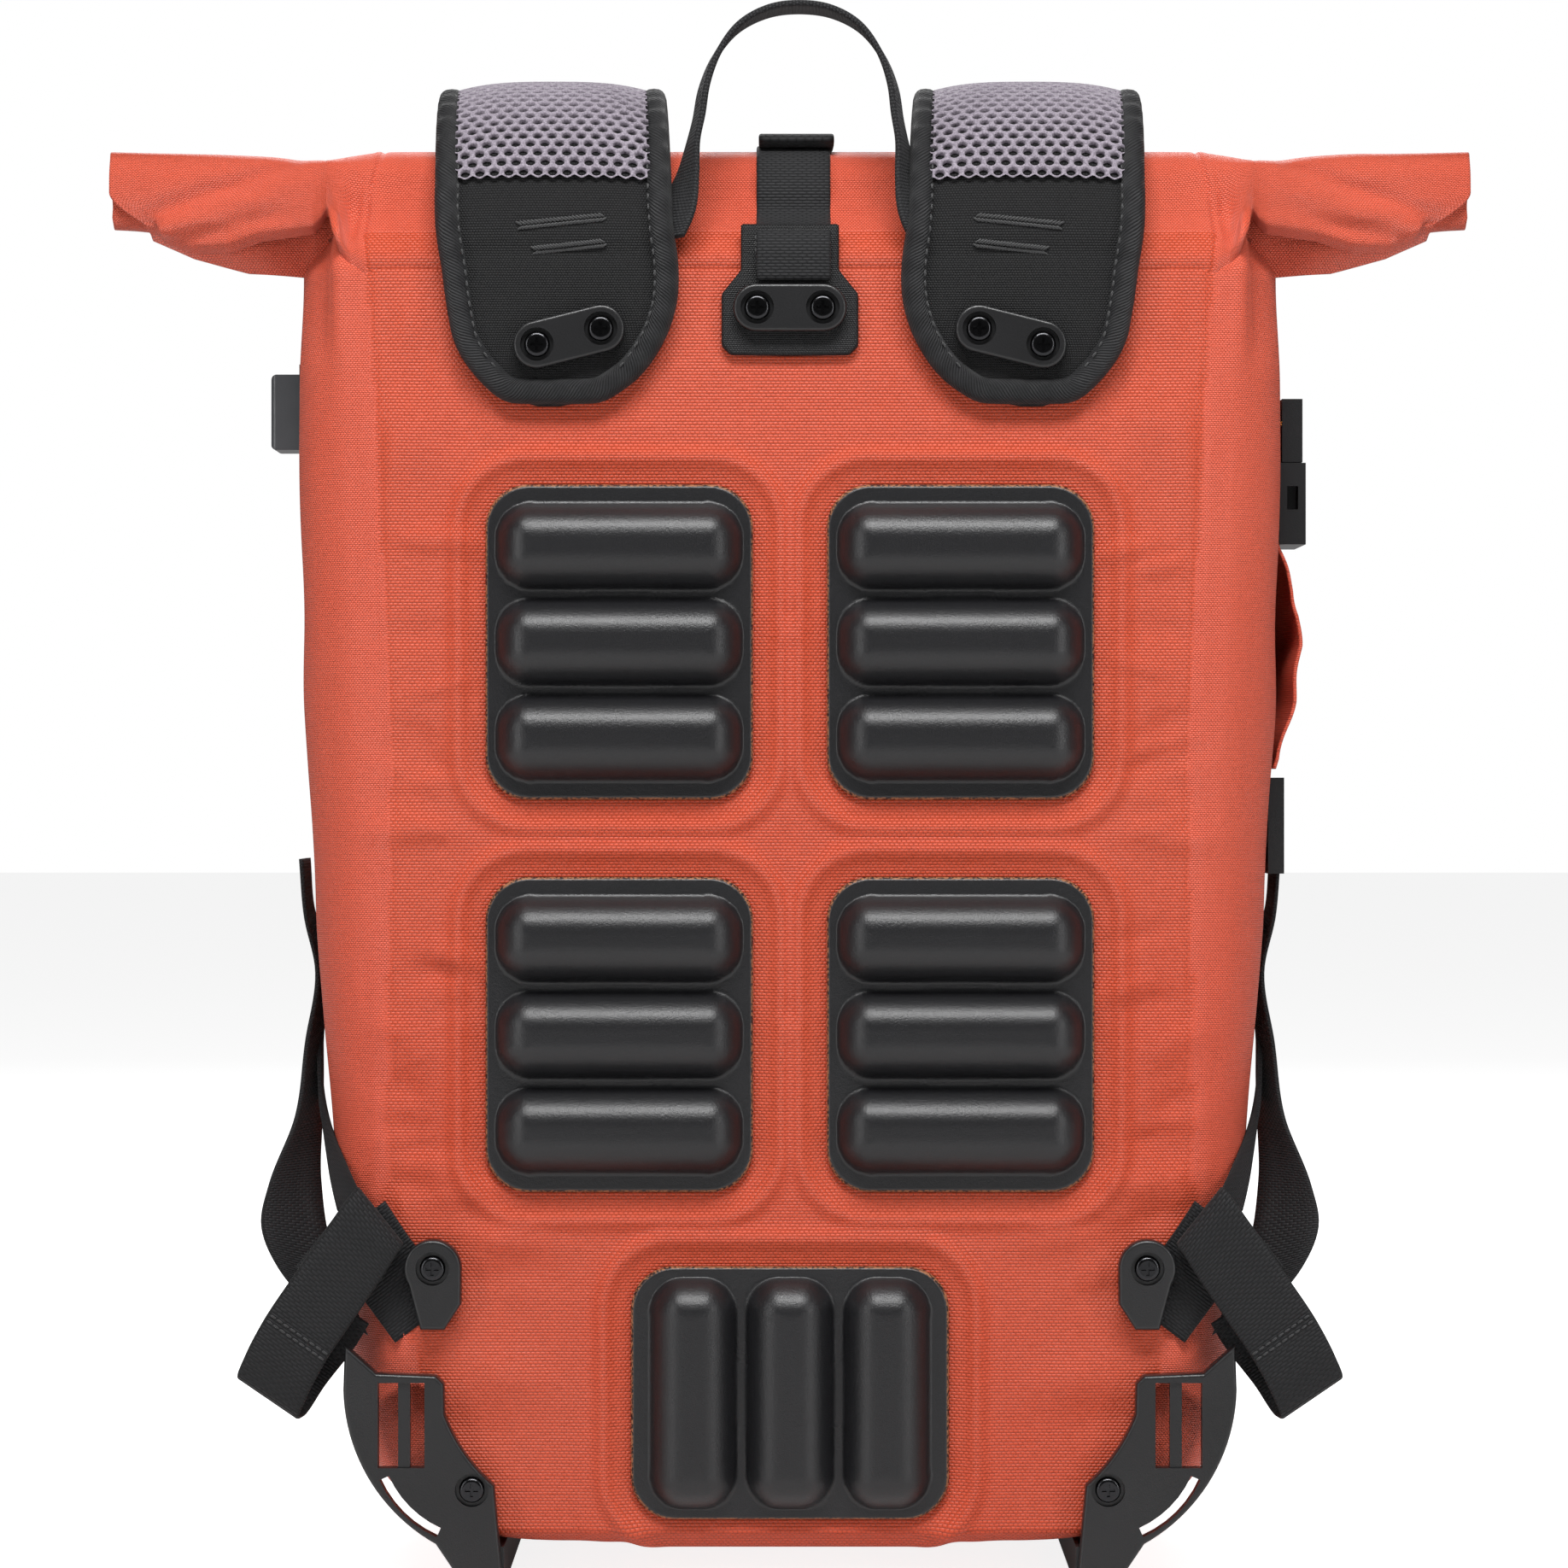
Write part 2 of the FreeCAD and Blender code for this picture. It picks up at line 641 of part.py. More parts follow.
def cut_bracket(bracket, side):
    """Open the ladder window with its bar, the arc slot and the screw hole."""
    y_low = corner_back_y - bracket_thickness - 1
    depth = bracket_thickness + 1 + 1
    window = box((side + 11, y_low, bottom_z + 26.7), (side + 26.6, y_low + depth, bottom_z + 55.2))
    bar_y = corner_back_y - 1.5
    bar = box((side + 17.7, bar_y - 2.5, bottom_z + 25), (side + 21.7, bar_y, bottom_z + 57))
    bracket = join(bracket.cut(window), bar)
    centre = (side + 46.0, bottom_z + 38.0)
    stations = []
    for i in range(7):
        angle = math.radians(204 + 42 * i / 6)
        x = centre[0] + arc_slot_radius * math.cos(angle)
        z = centre[1] + arc_slot_radius * math.sin(angle)
        across = (math.cos(angle), 0, math.sin(angle))
        stations.append(((x, y_low, z), across, arc_slot_width, depth))
    wires = []
    for point, across, width, thickness in stations:
        a = V(*point) - V(*across) * (width / 2)
        b = V(*point) + V(*across) * (width / 2)
        wires.append(Part.makePolygon([a, b, b + Y * thickness, a + Y * thickness, a]))
    bracket = bracket.cut(Part.makeLoft(wires, True, True))
    hole = screw_radius + screw_clearance
    bracket = drilled(bracket, bracket_places, y_low, y_low + 1 + well_depth, well_radius)
    return drilled(bracket, bracket_places, y_low, y_low + depth, hole)


def corner_tab():
    """The left moulded boss that clamps the webbing to the corner."""
    x, z = corner_places[0]
    face_y = corner_back_y - corner_tab_thickness
    reach = corner_tab_radius
    head = rod((x, face_y, z), Y, reach, corner_tab_thickness)
    outline = [(x - reach + 0.4, z - 1), (x - 4, z - 20.5), (x + 4, z - 20.5),
               (x + reach - 0.1, z - 12), (x + reach, z)]
    foot = face_prism(outline, face_y, corner_tab_thickness)
    tab = front_rounded(join(head, foot), face_y, plate_rounding)
    tab = drilled(tab, [(x, z)], face_y - 1, face_y + well_depth, well_radius)
    return drilled(tab, [(x, z)], face_y - 1, corner_back_y + 1, screw_radius + screw_clearance)


def tab_webbing():
    """The short webbing under the left corner tab and bracket."""
    x, z = corner_places[0]
    y = back_y - gap
    across = (-0.87, 0, -0.5)
    stations = [((x - 19, y, z + 1), across, webbing_width, webbing_thickness),
                ((x - 3, y, z - 27), across, webbing_width, webbing_thickness)]
    strap = band(stations)
    return drilled(strap, [(x, z)], y - 5, y + 1, screw_radius + 1)


def lower_webbing():
    """Webbing from the left strap's ladder lock round the side of the bag to the corner tab."""
    off = 3.0
    half = bag_width / 2 - 4
    corner = upright_radius
    ladder = strap_path()[-1]
    rear_x = ladder[0]
    start_z = ladder[2] - ladder_height - 14
    end_z = corner_tab_z + 12
    plan = []
    plan.append((rear_x, ladder[1] + 1.5, (1, 0)))
    plan.append((rear_x - 12, rear_y + off + 8, (0.98, 0.2)))
    radius = corner + off
    for i in range(6):
        a = math.radians(90 + 90 * i / 5)
        centre = (-(half - corner), rear_y - corner)
        normal = (math.cos(a), math.sin(a))
        plan.append((centre[0] + radius * normal[0], centre[1] + radius * normal[1], (normal[1], -normal[0])))
    front_half = half - 4
    for i in range(6):
        a = math.radians(180 + 78 * i / 5)
        centre = (-(front_half - corner), back_y + corner)
        normal = (math.cos(a), math.sin(a))
        plan.append((centre[0] + radius * normal[0], centre[1] + radius * normal[1], (normal[1], -normal[0])))
    lengths = [0.0]
    for a, b in zip(plan, plan[1:]):
        lengths.append(lengths[-1] + math.hypot(b[0] - a[0], b[1] - a[1]))
    drop = start_z - end_z
    pitch = math.atan2(drop, lengths[-1])
    stations = []
    for (x, y, travel), run in zip(plan, lengths):
        z = start_z - drop * run / lengths[-1]
        across = (travel[0] * math.sin(-pitch), travel[1] * math.sin(-pitch), -math.cos(pitch))
        stations.append(((x, y, z), across, webbing_width, webbing_thickness))
    return band(stations)


def ladder_lock():
    """The left strap's ladder lock: a frame with two slots under the strap's end."""
    x, y, z, _, _ = strap_path()[-1]
    width = webbing_width + 2 * buckle_wall
    half = ladder_slot / 2
    frame = rounded_plate((x, z - ladder_height / 2 - gap), width, ladder_height, 4, y, ladder_depth)
    for drop in (gap + 6.5, gap + 15.0):
        frame = frame.cut(box((x - slot_half_x, y - 1, z - drop - half),
                              (x + slot_half_x, y + ladder_depth + 1, z - drop + half)))
    return frame


def strap_tail():
    """The loose end of the left lower webbing, doubled and sewn at its tip."""
    x, z = corner_places[0]
    y = back_y - tail_spacing
    spread = (webbing_width - 25) / 2
    x -= 0.78 * spread
    z += 0.62 * spread
    across = (0.78, 0, -0.62)
    stations = [((x - 18.5, y, z + 14.5), across, webbing_width, webbing_thickness),
                ((x - 32.6, y - 1, z - 5.2), across, webbing_width, webbing_thickness),
                ((x - 46.7, y - 1, z - 24.9), across, webbing_width, webbing_thickness * 2),
                ((x - 55.5, y - 1, z - 44.9), across, webbing_width, webbing_thickness * 2)]
    return band(stations)


# ---- side pieces ----
def side_holder():
    """The left moulded holder on its flange."""
    top = rim_z - 45
    flange = box((-side_x - 2.6, side_y - 14, top - 29), (-side_x - gap, side_y + 14, top + 3))
    block = box((-side_x - holder_reach, side_y - holder_half, top - 26), (-side_x - 2, side_y + holder_half, top))
    outer = [e for e in block.Edges if e.CenterOfMass.x < 0.1 - side_x - holder_reach]
    block = block.makeFillet(2, outer)
    inner = holder_half - 3
    hollow = box((2.5 - side_x - holder_reach, side_y - inner, top - 23), (-side_x - 3.5, side_y + inner, top + 1))
    return join(flange, block).cut(hollow)


def side_patch():
    """The right-hand reinforcing patch under the side buckle."""
    top = rim_z - 52
    low = (side_x + gap, side_y - patch_half, top - patch_height)
    return box(low, (side_x + gap + patch_thickness, side_y + patch_half, top))


def on_right_side(shape):
    """Turn a piece built upright at the origin so that it lies on the right side patch."""
    shape.rotate(V(0, 0, 0), Z, -90)
    shape.translate(V(side_x + 2 * gap + patch_thickness, side_y, rim_z - 80))
    return shape


def side_flap():
    """The folded fabric that bulges from the right side."""
    top = rim_z - 104
    outline = [(side_x + gap, top), (side_x + flap_reach - 0.5, top - 26),
               (side_x + flap_reach, top - 48), (side_x + gap, top - 76)]
    return face_prism(outline, side_y - flap_depth / 3, flap_depth)


def side_adjuster():
    """The ladder lock below the fabric fold, with two slots."""
    top = rim_z - 184
    half_y = webbing_width / 2 + 2.5
    half = ladder_slot / 2
    low = (side_x + gap - 2, side_y - half_y, top - 33)
    frame = box(low, (side_x + gap + ladder_depth - 1.5, side_y + half_y, top))
    for drop in (9, 22):
        frame = frame.cut(box((side_x - 4, side_y - slot_half_x + 1.5, top - drop - half),
                              (side_x + 6, side_y + slot_half_x - 1.5, top - drop + half)))
    return frame


# ---- rack side ----
def rail(length, z, places):
    """A channel along X with a slot in its outer wall."""
    y = rear_y + gap
    half = rail_height / 2
    bar = box((-length / 2, y, z - half), (length / 2, y + rail_depth, z + half))
    inside = half - rail_wall
    bar = bar.cut(box((-length / 2 - 1, y + rail_wall, z - inside),
                      (length / 2 + 1, y + rail_depth - rail_wall, z + inside)))
    bar = bar.cut(box((-length / 2 - 1, y + rail_wall, z - rail_slot / 2),
                      (length / 2 + 1, y + rail_depth + 1, z + rail_slot / 2)))
    return drilled(bar, places, y - 1, y + rail_wall + 1, screw_radius + screw_clearance)


def rail_cap(side, length, z):
    """A plug that closes one end of a rail."""
    y = rear_y + gap
    half = rail_height / 2
    x = length / 2 + gap
    flange = box((x, y, z - half), (x + 2, y + rail_depth, z + half))
    c = slide_clearance
    inside = half - rail_wall - c
    plug = box((x - 6, y + rail_wall + c, z - inside), (x + 1, y + rail_depth - rail_wall - c, z + inside))
    cap = join(flange, plug)
    return cap if side > 0 else mirrored(cap)


def rail_screw(x, z):
    """A low-head screw inside the rail, into a nut inside the bag."""
    seat = rear_y + gap + rail_wall
    head = rod((x, seat, z), Y, 3.6, 2.0)
    tip = rear_y - fabric - gap - nut_thickness
    shank = rod((x, tip, z), Y, screw_radius, seat - tip)
    return join(head, shank)


def rail_foot(x, z, width):
    """The T-shaped foot that slides in a rail, up to the rail's outer face."""
    y = rear_y + gap
    inside = rail_height / 2 - rail_wall - slide_clearance
    plate_low = y + rail_wall + 2.0 + slide_clearance
    plate_high = y + rail_depth - rail_wall - slide_clearance
    plate = box((x - width / 2, plate_low, z - inside), (x + width / 2, plate_high, z + inside))
    neck_half = rail_slot / 2 - slide_clearance
    neck = box((x - width / 2, plate_high - 1, z - neck_half), (x + width / 2, y + rail_depth + 1, z + neck_half))
    return join(plate, neck)


tube_z = top_rail_z + 2
tube_y = rear_y + tube_reach
latch_pin_y = rear_y + hook_face + 4.0
latch_pin_z = tube_z - tube_radius - 6


def rack_hook():
    """The left hook: half a ring over the rack tube, on a plate that slides on the rail."""
    x_low = -hook_spread - hook_width / 2
    x_high = -hook_spread + hook_width / 2
    plate_y = rear_y + hook_face - hook_plate
    outer = tube_radius + hook_wall
    ring = rod((x_low, tube_y, tube_z), X, outer, hook_width)
    bridge = box((x_low, plate_y, tube_z - 4), (x_high, tube_y, tube_z + outer))
    ring = ring.cut(box((x_low - 1, tube_y - 1, tube_z - outer - 1), (x_high + 1, tube_y + outer + 1, tube_z - 3)))
    ring = ring.cut(box((x_low - 1, tube_y - outer - 1, tube_z - outer - 1), (x_high + 1, tube_y, tube_z - 4)))
    plate = box((x_low, plate_y, tube_z - 18.5), (x_high, plate_y + hook_plate, tube_z + outer))
    hook = join(plate, bridge, ring)
    hook = hook.cut(rod((x_low - 1, tube_y, tube_z), X, tube_radius, hook_width + 2))
    hook = hook.cut(box((x_low - 1, tube_y - tube_radius, tube_z - outer - 8),
                        (x_high + 1, tube_y + tube_radius, tube_z)))
    cheeks = []
    for side in (-1, 1):
        inner = -hook_spread + side * (latch_width / 2 + gap)
        outer_x = -hook_spread + side * hook_width / 2
        low_x, high_x = sorted((inner, outer_x))
        cheeks.append(box((low_x, plate_y, latch_pin_z - 4.5),
                          (high_x, rear_y + hook_face + 7.0, latch_pin_z + 4.5)))
    hook = join(hook, *cheeks)
    tail_half = latch_width / 2 + gap
    hook = hook.cut(box((-hook_spread - tail_half, plate_y - 1, tube_z - 20),
                        (-hook_spread + tail_half, plate_y + hook_plate + 1, latch_pin_z + 3)))
    hook = hook.cut(rod((x_low - 1, latch_pin_y, latch_pin_z), X, latch_pin_radius, hook_width + 2))
    return join(hook, rail_foot(-hook_spread, top_rail_z, hook_width))


def latch():
    """The left latch: a nose under the rack tube and a thumb tail, on its pin."""
    x_low = -hook_spread - latch_width / 2
    hub = rod((x_low, latch_pin_y, latch_pin_z), X, latch_hub, latch_width)
    nose_top = tube_z - tube_radius - latch_gap
    nose = box((x_low, latch_pin_y, nose_top - 3), (x_low + latch_width, tube_y + 6, nose_top))
    stem = box((x_low, latch_pin_y - 1.5, latch_pin_z), (x_low + latch_width, latch_pin_y + 3, nose_top))
    tail = box((x_low, latch_pin_y - 1.5, latch_pin_z - 19), (x_low + latch_width, latch_pin_y + 1.5, latch_pin_z))
    body = join(hub, nose, stem, tail)
    return body.cut(rod((x_low - 1, latch_pin_y, latch_pin_z), X, latch_pin_radius + running, latch_width + 2))


def latch_pin():
    x_low = -hook_spread - hook_width / 2
    return rod((x_low, latch_pin_y, latch_pin_z), X, latch_pin_radius, hook_width)


swivel_y = rear_y + hook_face + gap


def low_carriage():
    """The carriage of the lower hook, with the stud that the hook turns on."""
    disc = rod((0, rear_y + hook_face - hook_plate, low_rail_z), Y, carriage_radius, hook_plate)
    stud = rod((0, rear_y + hook_face - 1, low_rail_z), Y, stud_radius, swivel_plate + 2 * gap + 1)
    carriage = join(rail_foot(0, low_rail_z, 2 * carriage_radius), disc, stud)
    return carriage.cut(rod((0, rear_y + hook_face - 2, low_rail_z), Y, screw_radius, swivel_plate + 4))


def low_hook():
    """The lower hook, hanging down: a round eye, an arm and a lip that catches the rack."""
    half = swivel_half
    low_z = low_rail_z - swivel_reach
    eye = rod((0, swivel_y, low_rail_z), Y, swivel_radius, swivel_plate)
    arm = box((-half, swivel_y, low_z), (half, swivel_y + swivel_plate, low_rail_z))
    lip_y = swivel_y + swivel_plate - 0.5
    shelf = box((-half, lip_y, low_z), (half, lip_y + 15, low_z + swivel_plate))
    lip = box((-half, lip_y + 11, low_z), (half, lip_y + 15, low_z + 18))
    hook = join(eye, arm, shelf, lip)
    return hook.cut(rod((0, swivel_y - 1, low_rail_z), Y, stud_radius + running, swivel_plate + 2))


def low_hook_screw():
    """The screw that keeps the lower hook on its stud."""
    seat = rear_y + hook_face + swivel_plate + 2 * gap
    head = rod((0, seat, low_rail_z), Y, 8, 2)
    shank = rod((0, seat - swivel_plate - 1, low_rail_z), Y, screw_radius, swivel_plate + 1)
    return join(head, shank)


# ---- write every node ----
def save_bag():
    save("bag_shell", bag_shell())
    save("roll_top", roll_top())
    save("roll_stiffener", roll_stiffener())
    save("back_sheet", back_sheet_panel())
    save("base_sheet", base_sheet())


def save_pads():
    upper_z = rim_z - upper_pad_drop
    lower_z = bottom_z + lower_pad_rise
    for side, name in ((-1, "left"), (1, "right")):
        save("upper_pad_" + name, back_pad((side * pad_spread, upper_z), pad_width, pad_height, False))
        save("lower_pad_" + name, back_pad((side * pad_spread, lower_z), pad_width, pad_height, False))
    save("lumbar_pad", back_pad((0, bottom_z + lumbar_rise), lumbar_width, lumbar_height, True))


def save_harness():
    strap = shoulder_strap()
    save("shoulder_strap_left", strap)
    save("shoulder_strap_right", mirrored(strap))
    plate_y = back_y - gap - strap_tongue - gap - plate_thickness
    left = anchor_plate(-strap_plate_x, strap_plate_z, plate_tilt, plate_y, left_plate_places)
    save("strap_plate_left", left)
    save("strap_plate_right", mirrored(left))
    tab_plate_y = back_y - gap - centre_tab_thickness - gap - plate_thickness
    save("centre_tab", centre_tab())
    save("centre_plate", anchor_plate(0, tab_plate_z, 0, tab_plate_y, tab_places))
    tip_y = back_y + fabric + 2 * gap + back_sheet + nut_thickness
    save("strap_screws", *[screw(x, z, plate_y + well_depth, tip_y) for x, z in strap_places])
    save("centre_screws", *[screw(x, z, tab_plate_y + well_depth, tip_y) for x, z in tab_places])
    nut_y = back_y + fabric + 2 * gap + back_sheet
    save("panel_nuts", *[nut(x, z, nut_y) for x, z in panel_places])
    corner_y = corner_back_y - corner_tab_thickness + well_depth
    corner_screws = [screw(x, z, corner_y, tip_y) for x, z in corner_places + bracket_places]
    save("corner_screws", *corner_screws)


def save_closure():
    save("closure_strap", closure_strap())
    save("strap_end", strap_end())
    save("buckle_socket", buckle_socket(on_slope))
    save("buckle_plug", buckle_plug(on_slope))
    save("buckle_strap", buckle_strap())
    save("carry_handle", carry_handle())
    leg = carry_handle_end()
    right_leg = mirrored(leg)
    right_leg.translate(V(2 * handle_shift, 0, 0))
    save("handle_ends", leg, right_leg)


def save_corners():
    pieces = {"corner_bracket": corner_bracket(), "corner_tab": corner_tab(),
              "tab_webbing": tab_webbing(), "lower_webbing": lower_webbing(),
              "strap_tail": strap_tail(), "ladder_lock": ladder_lock()}
    for name, piece in pieces.items():
        save(name + "_left", piece)
        save(name + "_right", mirrored(piece))


def save_sides():
    save("side_holder", side_holder())
    save("side_patch", side_patch())
    save("side_socket", buckle_socket(on_right_side))
    save("side_plug", buckle_plug(on_right_side))
    save("side_flap", side_flap())
    save("side_adjuster", side_adjuster())


def save_rack_side():
    save("top_rail", rail(top_rail_length, top_rail_z, top_rail_places))
    save("low_rail", rail(low_rail_length, low_rail_z, low_rail_places))
    caps = []
    for length, z in ((top_rail_length, top_rail_z), (low_rail_length, low_rail_z)):
        caps += [rail_cap(side, length, z) for side in (-1, 1)]
    save("rail_caps", *caps)
    save("rail_screws", *[rail_screw(x, z) for x, z in rail_places])
    nut_y = rear_y - fabric - gap - nut_thickness
    save("rail_nuts", *[nut(x, z, nut_y) for x, z in rail_places])
    for name, piece in (("rack_hook", rack_hook()), ("latch", latch()), ("latch_pin", latch_pin())):
        save(name + "_left", piece)
        save(name + "_right", mirrored(piece))
    save("low_carriage", low_carriage())
    save("low_hook", low_hook())
    save("low_hook_screw", low_hook_screw())


save_bag()
save_pads()
save_harness()
save_closure()
save_corners()
save_sides()
save_rack_side()
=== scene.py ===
# %% [markdown]
# # A roll-top pannier backpack
# The exact model of the bag is already made: every part has its size and place, and the moving
# parts have their joints. This lesson dresses it. Fabric, foam and webbing get new surfaces, and the
# moulded parts keep their shape and get better finishes.

# %% Loading the exact model
import json
import math
import bmesh
import bpy
import numpy as np
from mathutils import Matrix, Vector


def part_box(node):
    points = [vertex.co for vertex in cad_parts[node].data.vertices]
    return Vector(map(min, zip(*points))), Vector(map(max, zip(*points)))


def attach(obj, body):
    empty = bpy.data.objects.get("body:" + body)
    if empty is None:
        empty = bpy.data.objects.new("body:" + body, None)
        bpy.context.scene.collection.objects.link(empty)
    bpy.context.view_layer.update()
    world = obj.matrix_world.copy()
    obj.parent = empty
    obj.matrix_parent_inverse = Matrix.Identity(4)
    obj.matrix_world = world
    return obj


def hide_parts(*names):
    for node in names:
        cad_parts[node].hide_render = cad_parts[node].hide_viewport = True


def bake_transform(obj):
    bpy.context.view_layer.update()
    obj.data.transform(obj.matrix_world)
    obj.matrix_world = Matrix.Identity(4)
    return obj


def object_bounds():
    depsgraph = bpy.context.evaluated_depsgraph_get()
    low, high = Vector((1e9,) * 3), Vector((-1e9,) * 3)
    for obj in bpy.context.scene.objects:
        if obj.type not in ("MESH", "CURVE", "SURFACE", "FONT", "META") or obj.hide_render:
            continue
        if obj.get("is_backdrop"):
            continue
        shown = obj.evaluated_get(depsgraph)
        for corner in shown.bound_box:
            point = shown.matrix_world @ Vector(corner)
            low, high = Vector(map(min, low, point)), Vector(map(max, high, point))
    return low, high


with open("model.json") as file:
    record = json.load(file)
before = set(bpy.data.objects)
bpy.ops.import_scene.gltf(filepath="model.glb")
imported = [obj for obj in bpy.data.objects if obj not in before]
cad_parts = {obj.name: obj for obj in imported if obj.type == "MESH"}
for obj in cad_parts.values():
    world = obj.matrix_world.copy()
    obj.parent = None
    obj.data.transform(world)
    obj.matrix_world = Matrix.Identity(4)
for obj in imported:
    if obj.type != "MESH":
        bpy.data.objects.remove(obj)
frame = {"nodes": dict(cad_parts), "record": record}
nodes = frame["nodes"]
cad_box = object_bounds()
print("parts:", len(nodes), "box:", [round(v, 4) for v in (*cad_box[0], *cad_box[1])])

# %% [markdown]
# ## The places that everything else follows
# The real bag is sewn round a stiff back panel, so the panel is the best thing to measure from. The
# numbers could be typed in again, but reading them from the parts keeps cloth and plastic together
# when a part changes size.

# %% Measuring the bag
def corners(node):
    """Lowest and highest corner of a part's box."""
    low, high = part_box(node)
    return np.array(low), np.array(high)


shell_low, shell_high = corners("bag_shell")
BACK_Y, REAR_Y = shell_low[1], shell_high[1]
BOTTOM_Z, RIM_Z = shell_low[2], shell_high[2]
roll_low, roll_high = corners("roll_top")
ROLL_MIDDLE_Y = (roll_low[1] + roll_high[1]) / 2
ROLL_TOP_Z = roll_high[2]
ROLL_HALF = roll_high[0]
rng = np.random.default_rng(7)
print("back panel at y", round(BACK_Y, 4), "rim at z", round(RIM_Z, 4))

# %% [markdown]
# ## Turning arrays into surfaces
# Every new piece is a rectangle of points bent into shape. Blender could build it with edit-mode
# tools, but a whole grid computed at once is quick, exact and easy to change. Where a grid closes on
# itself its last column repeats the first, and the doubled points are merged afterwards, so cloth
# keeps its own pattern coordinates on both sides of the seam.

# %% The grid helper
def grid_faces(rows, cols):
    """Corner numbers of the four-sided faces of a rows x cols grid."""
    corner = np.arange((rows - 1) * cols).reshape(rows - 1, cols)[:, :-1]
    return np.stack([corner, corner + 1, corner + cols + 1, corner + cols], -1).reshape(-1, 4)


def fill_mesh(mesh, points, faces, uv=None, facts=None):
    """Put points, faces, pattern coordinates and per-point facts into a mesh."""
    mesh.vertices.add(len(points))
    mesh.vertices.foreach_set("co", np.ascontiguousarray(points, np.float32).ravel())
    mesh.loops.add(faces.size)
    mesh.loops.foreach_set("vertex_index", np.ascontiguousarray(faces, np.int32).ravel())
    mesh.polygons.add(len(faces))
    mesh.polygons.foreach_set("loop_start", np.arange(0, faces.size, faces.shape[1], dtype=np.int32))
    mesh.update(calc_edges=True)
    if uv is not None:
        layer = mesh.uv_layers.new(name="cloth")
        layer.data.foreach_set("uv", np.ascontiguousarray(uv[faces.ravel()], np.float32).ravel())
    for name, values in (facts or {}).items():
        fact = mesh.attributes.new(name, "FLOAT", "POINT")
        fact.data.foreach_set("value", np.ascontiguousarray(values, np.float32).ravel())


def finish_mesh(mesh, closed):
    """Merge the doubled points, and on a closed shape point every face outwards."""
    work = bmesh.new()
    work.from_mesh(mesh)
    bmesh.ops.remove_doubles(work, verts=work.verts, dist=2e-6)
    if closed:
        bmesh.ops.recalc_face_normals(work, faces=work.faces)
    work.to_mesh(mesh)
    work.free()
    mesh.polygons.foreach_set("use_smooth", [True] * len(mesh.polygons))
    mesh.update()


def new_piece(name, points, faces, uv=None, facts=None, closed=True):
    """A piece from a list of points in metres and the corner numbers of its faces."""
    mesh = bpy.data.meshes.new(name)
    fill_mesh(mesh, points, faces, uv, facts)
    finish_mesh(mesh, closed)
    piece = bpy.data.objects.new(name, mesh)
    bpy.context.scene.collection.objects.link(piece)
    return piece


def surface(name, points, uv=None, facts=None, closed=True):
    """A piece from a grid of points, rows by columns by xyz."""
    rows, cols = points.shape[:2]
    flat_uv = None if uv is None else uv.reshape(-1, 2)
    return new_piece(name, points.reshape(-1, 3), grid_faces(rows, cols), flat_uv, facts, closed)


def thick_sheet(face, back):
    """Rows of the face, then of the back, as one ring with both open sides pinched shut.

    Each side gets one more column, half way between the face and the back.
    """
    ring = np.concatenate([face, back[::-1], face[:1]])
    first, last = ((ring[:, at] + ring[::-1, at]) / 2 for at in (slice(0, 1), slice(-1, None)))
    return np.concatenate([first, ring, last], 1)


def dress(piece, body, material, slot, *stands_for):
    """Give a finished piece its material and the body that it moves with; the slot is not used."""
    piece.data.materials.append(material)
    if stands_for:
        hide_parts(*stands_for)
    if body:
        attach(piece, body)
    print(piece.name, len(piece.data.polygons), "faces")
    return piece


# %% Curves through a few points
def through(points, count):
    """A smooth curve through rows of numbers whose first three are x, y, z.

    Between two rows each number follows a cubic whose slopes match its neighbours; the curve is
    then cut into equal steps of length.
    """
    rows = np.asarray(points, float)
    run = lengths(rows[:, :3])
    slope = np.gradient(rows, run, axis=0)
    fine = np.linspace(0, run[-1], 40 * len(rows))
    k = np.clip(np.searchsorted(run, fine, side="right") - 1, 0, len(rows) - 2)
    step = (run[k + 1] - run[k])[:, None]
    s = (fine - run[k])[:, None] / step
    curve = ((2 * s ** 3 - 3 * s ** 2 + 1) * rows[k] + (s ** 3 - 2 * s ** 2 + s) * step * slope[k]
             + (3 * s ** 2 - 2 * s ** 3) * rows[k + 1] + (s ** 3 - s ** 2) * step * slope[k + 1])
    length = lengths(curve[:, :3])
    wanted = np.linspace(0, length[-1], count)
    return np.stack([np.interp(wanted, length, column) for column in curve.T], -1)


def unit(v):
    """The same direction with a length of 1."""
    return v / np.maximum(np.linalg.norm(v, axis=-1, keepdims=True), 1e-12)


def lengths(path):
    """Distance along a path at each of its points."""
    return np.concatenate([[0], np.cumsum(np.linalg.norm(np.diff(path, axis=0), axis=1))])


def ramp(value, low, high):
    """0 below low, 1 above high, with an S curve between."""
    t = np.clip((value - low) / (high - low), 0, 1)
    return t * t * (3 - 2 * t)


def fall(value, low, high):
    """1 below low, 0 above high, with the same S curve between."""
    return ramp(-value, -high, -low)


def hill(value, centre, spread):
    """A bell curve, 1 at the centre."""
    return np.exp(-((value - centre) / spread) ** 2)


def zigzag(count):
    """1 and -1 by turns, starting with -1."""
    return np.where(np.arange(count) % 2, 1, -1)


print("grid of 3 x 4 points:", len(grid_faces(3, 4)), "faces")

# %% [markdown]
# ## Camera, floor and light
# A bag is shown straight on to its back pads from about a metre and a half, with a long lens so that
# the sides stay square. The floor is a wide pale sheet and the backdrop is a white world that hardly
# lights the bag, so that it can be seen from behind too. Soft lights from above and both sides give
# black foam its broad highlights.

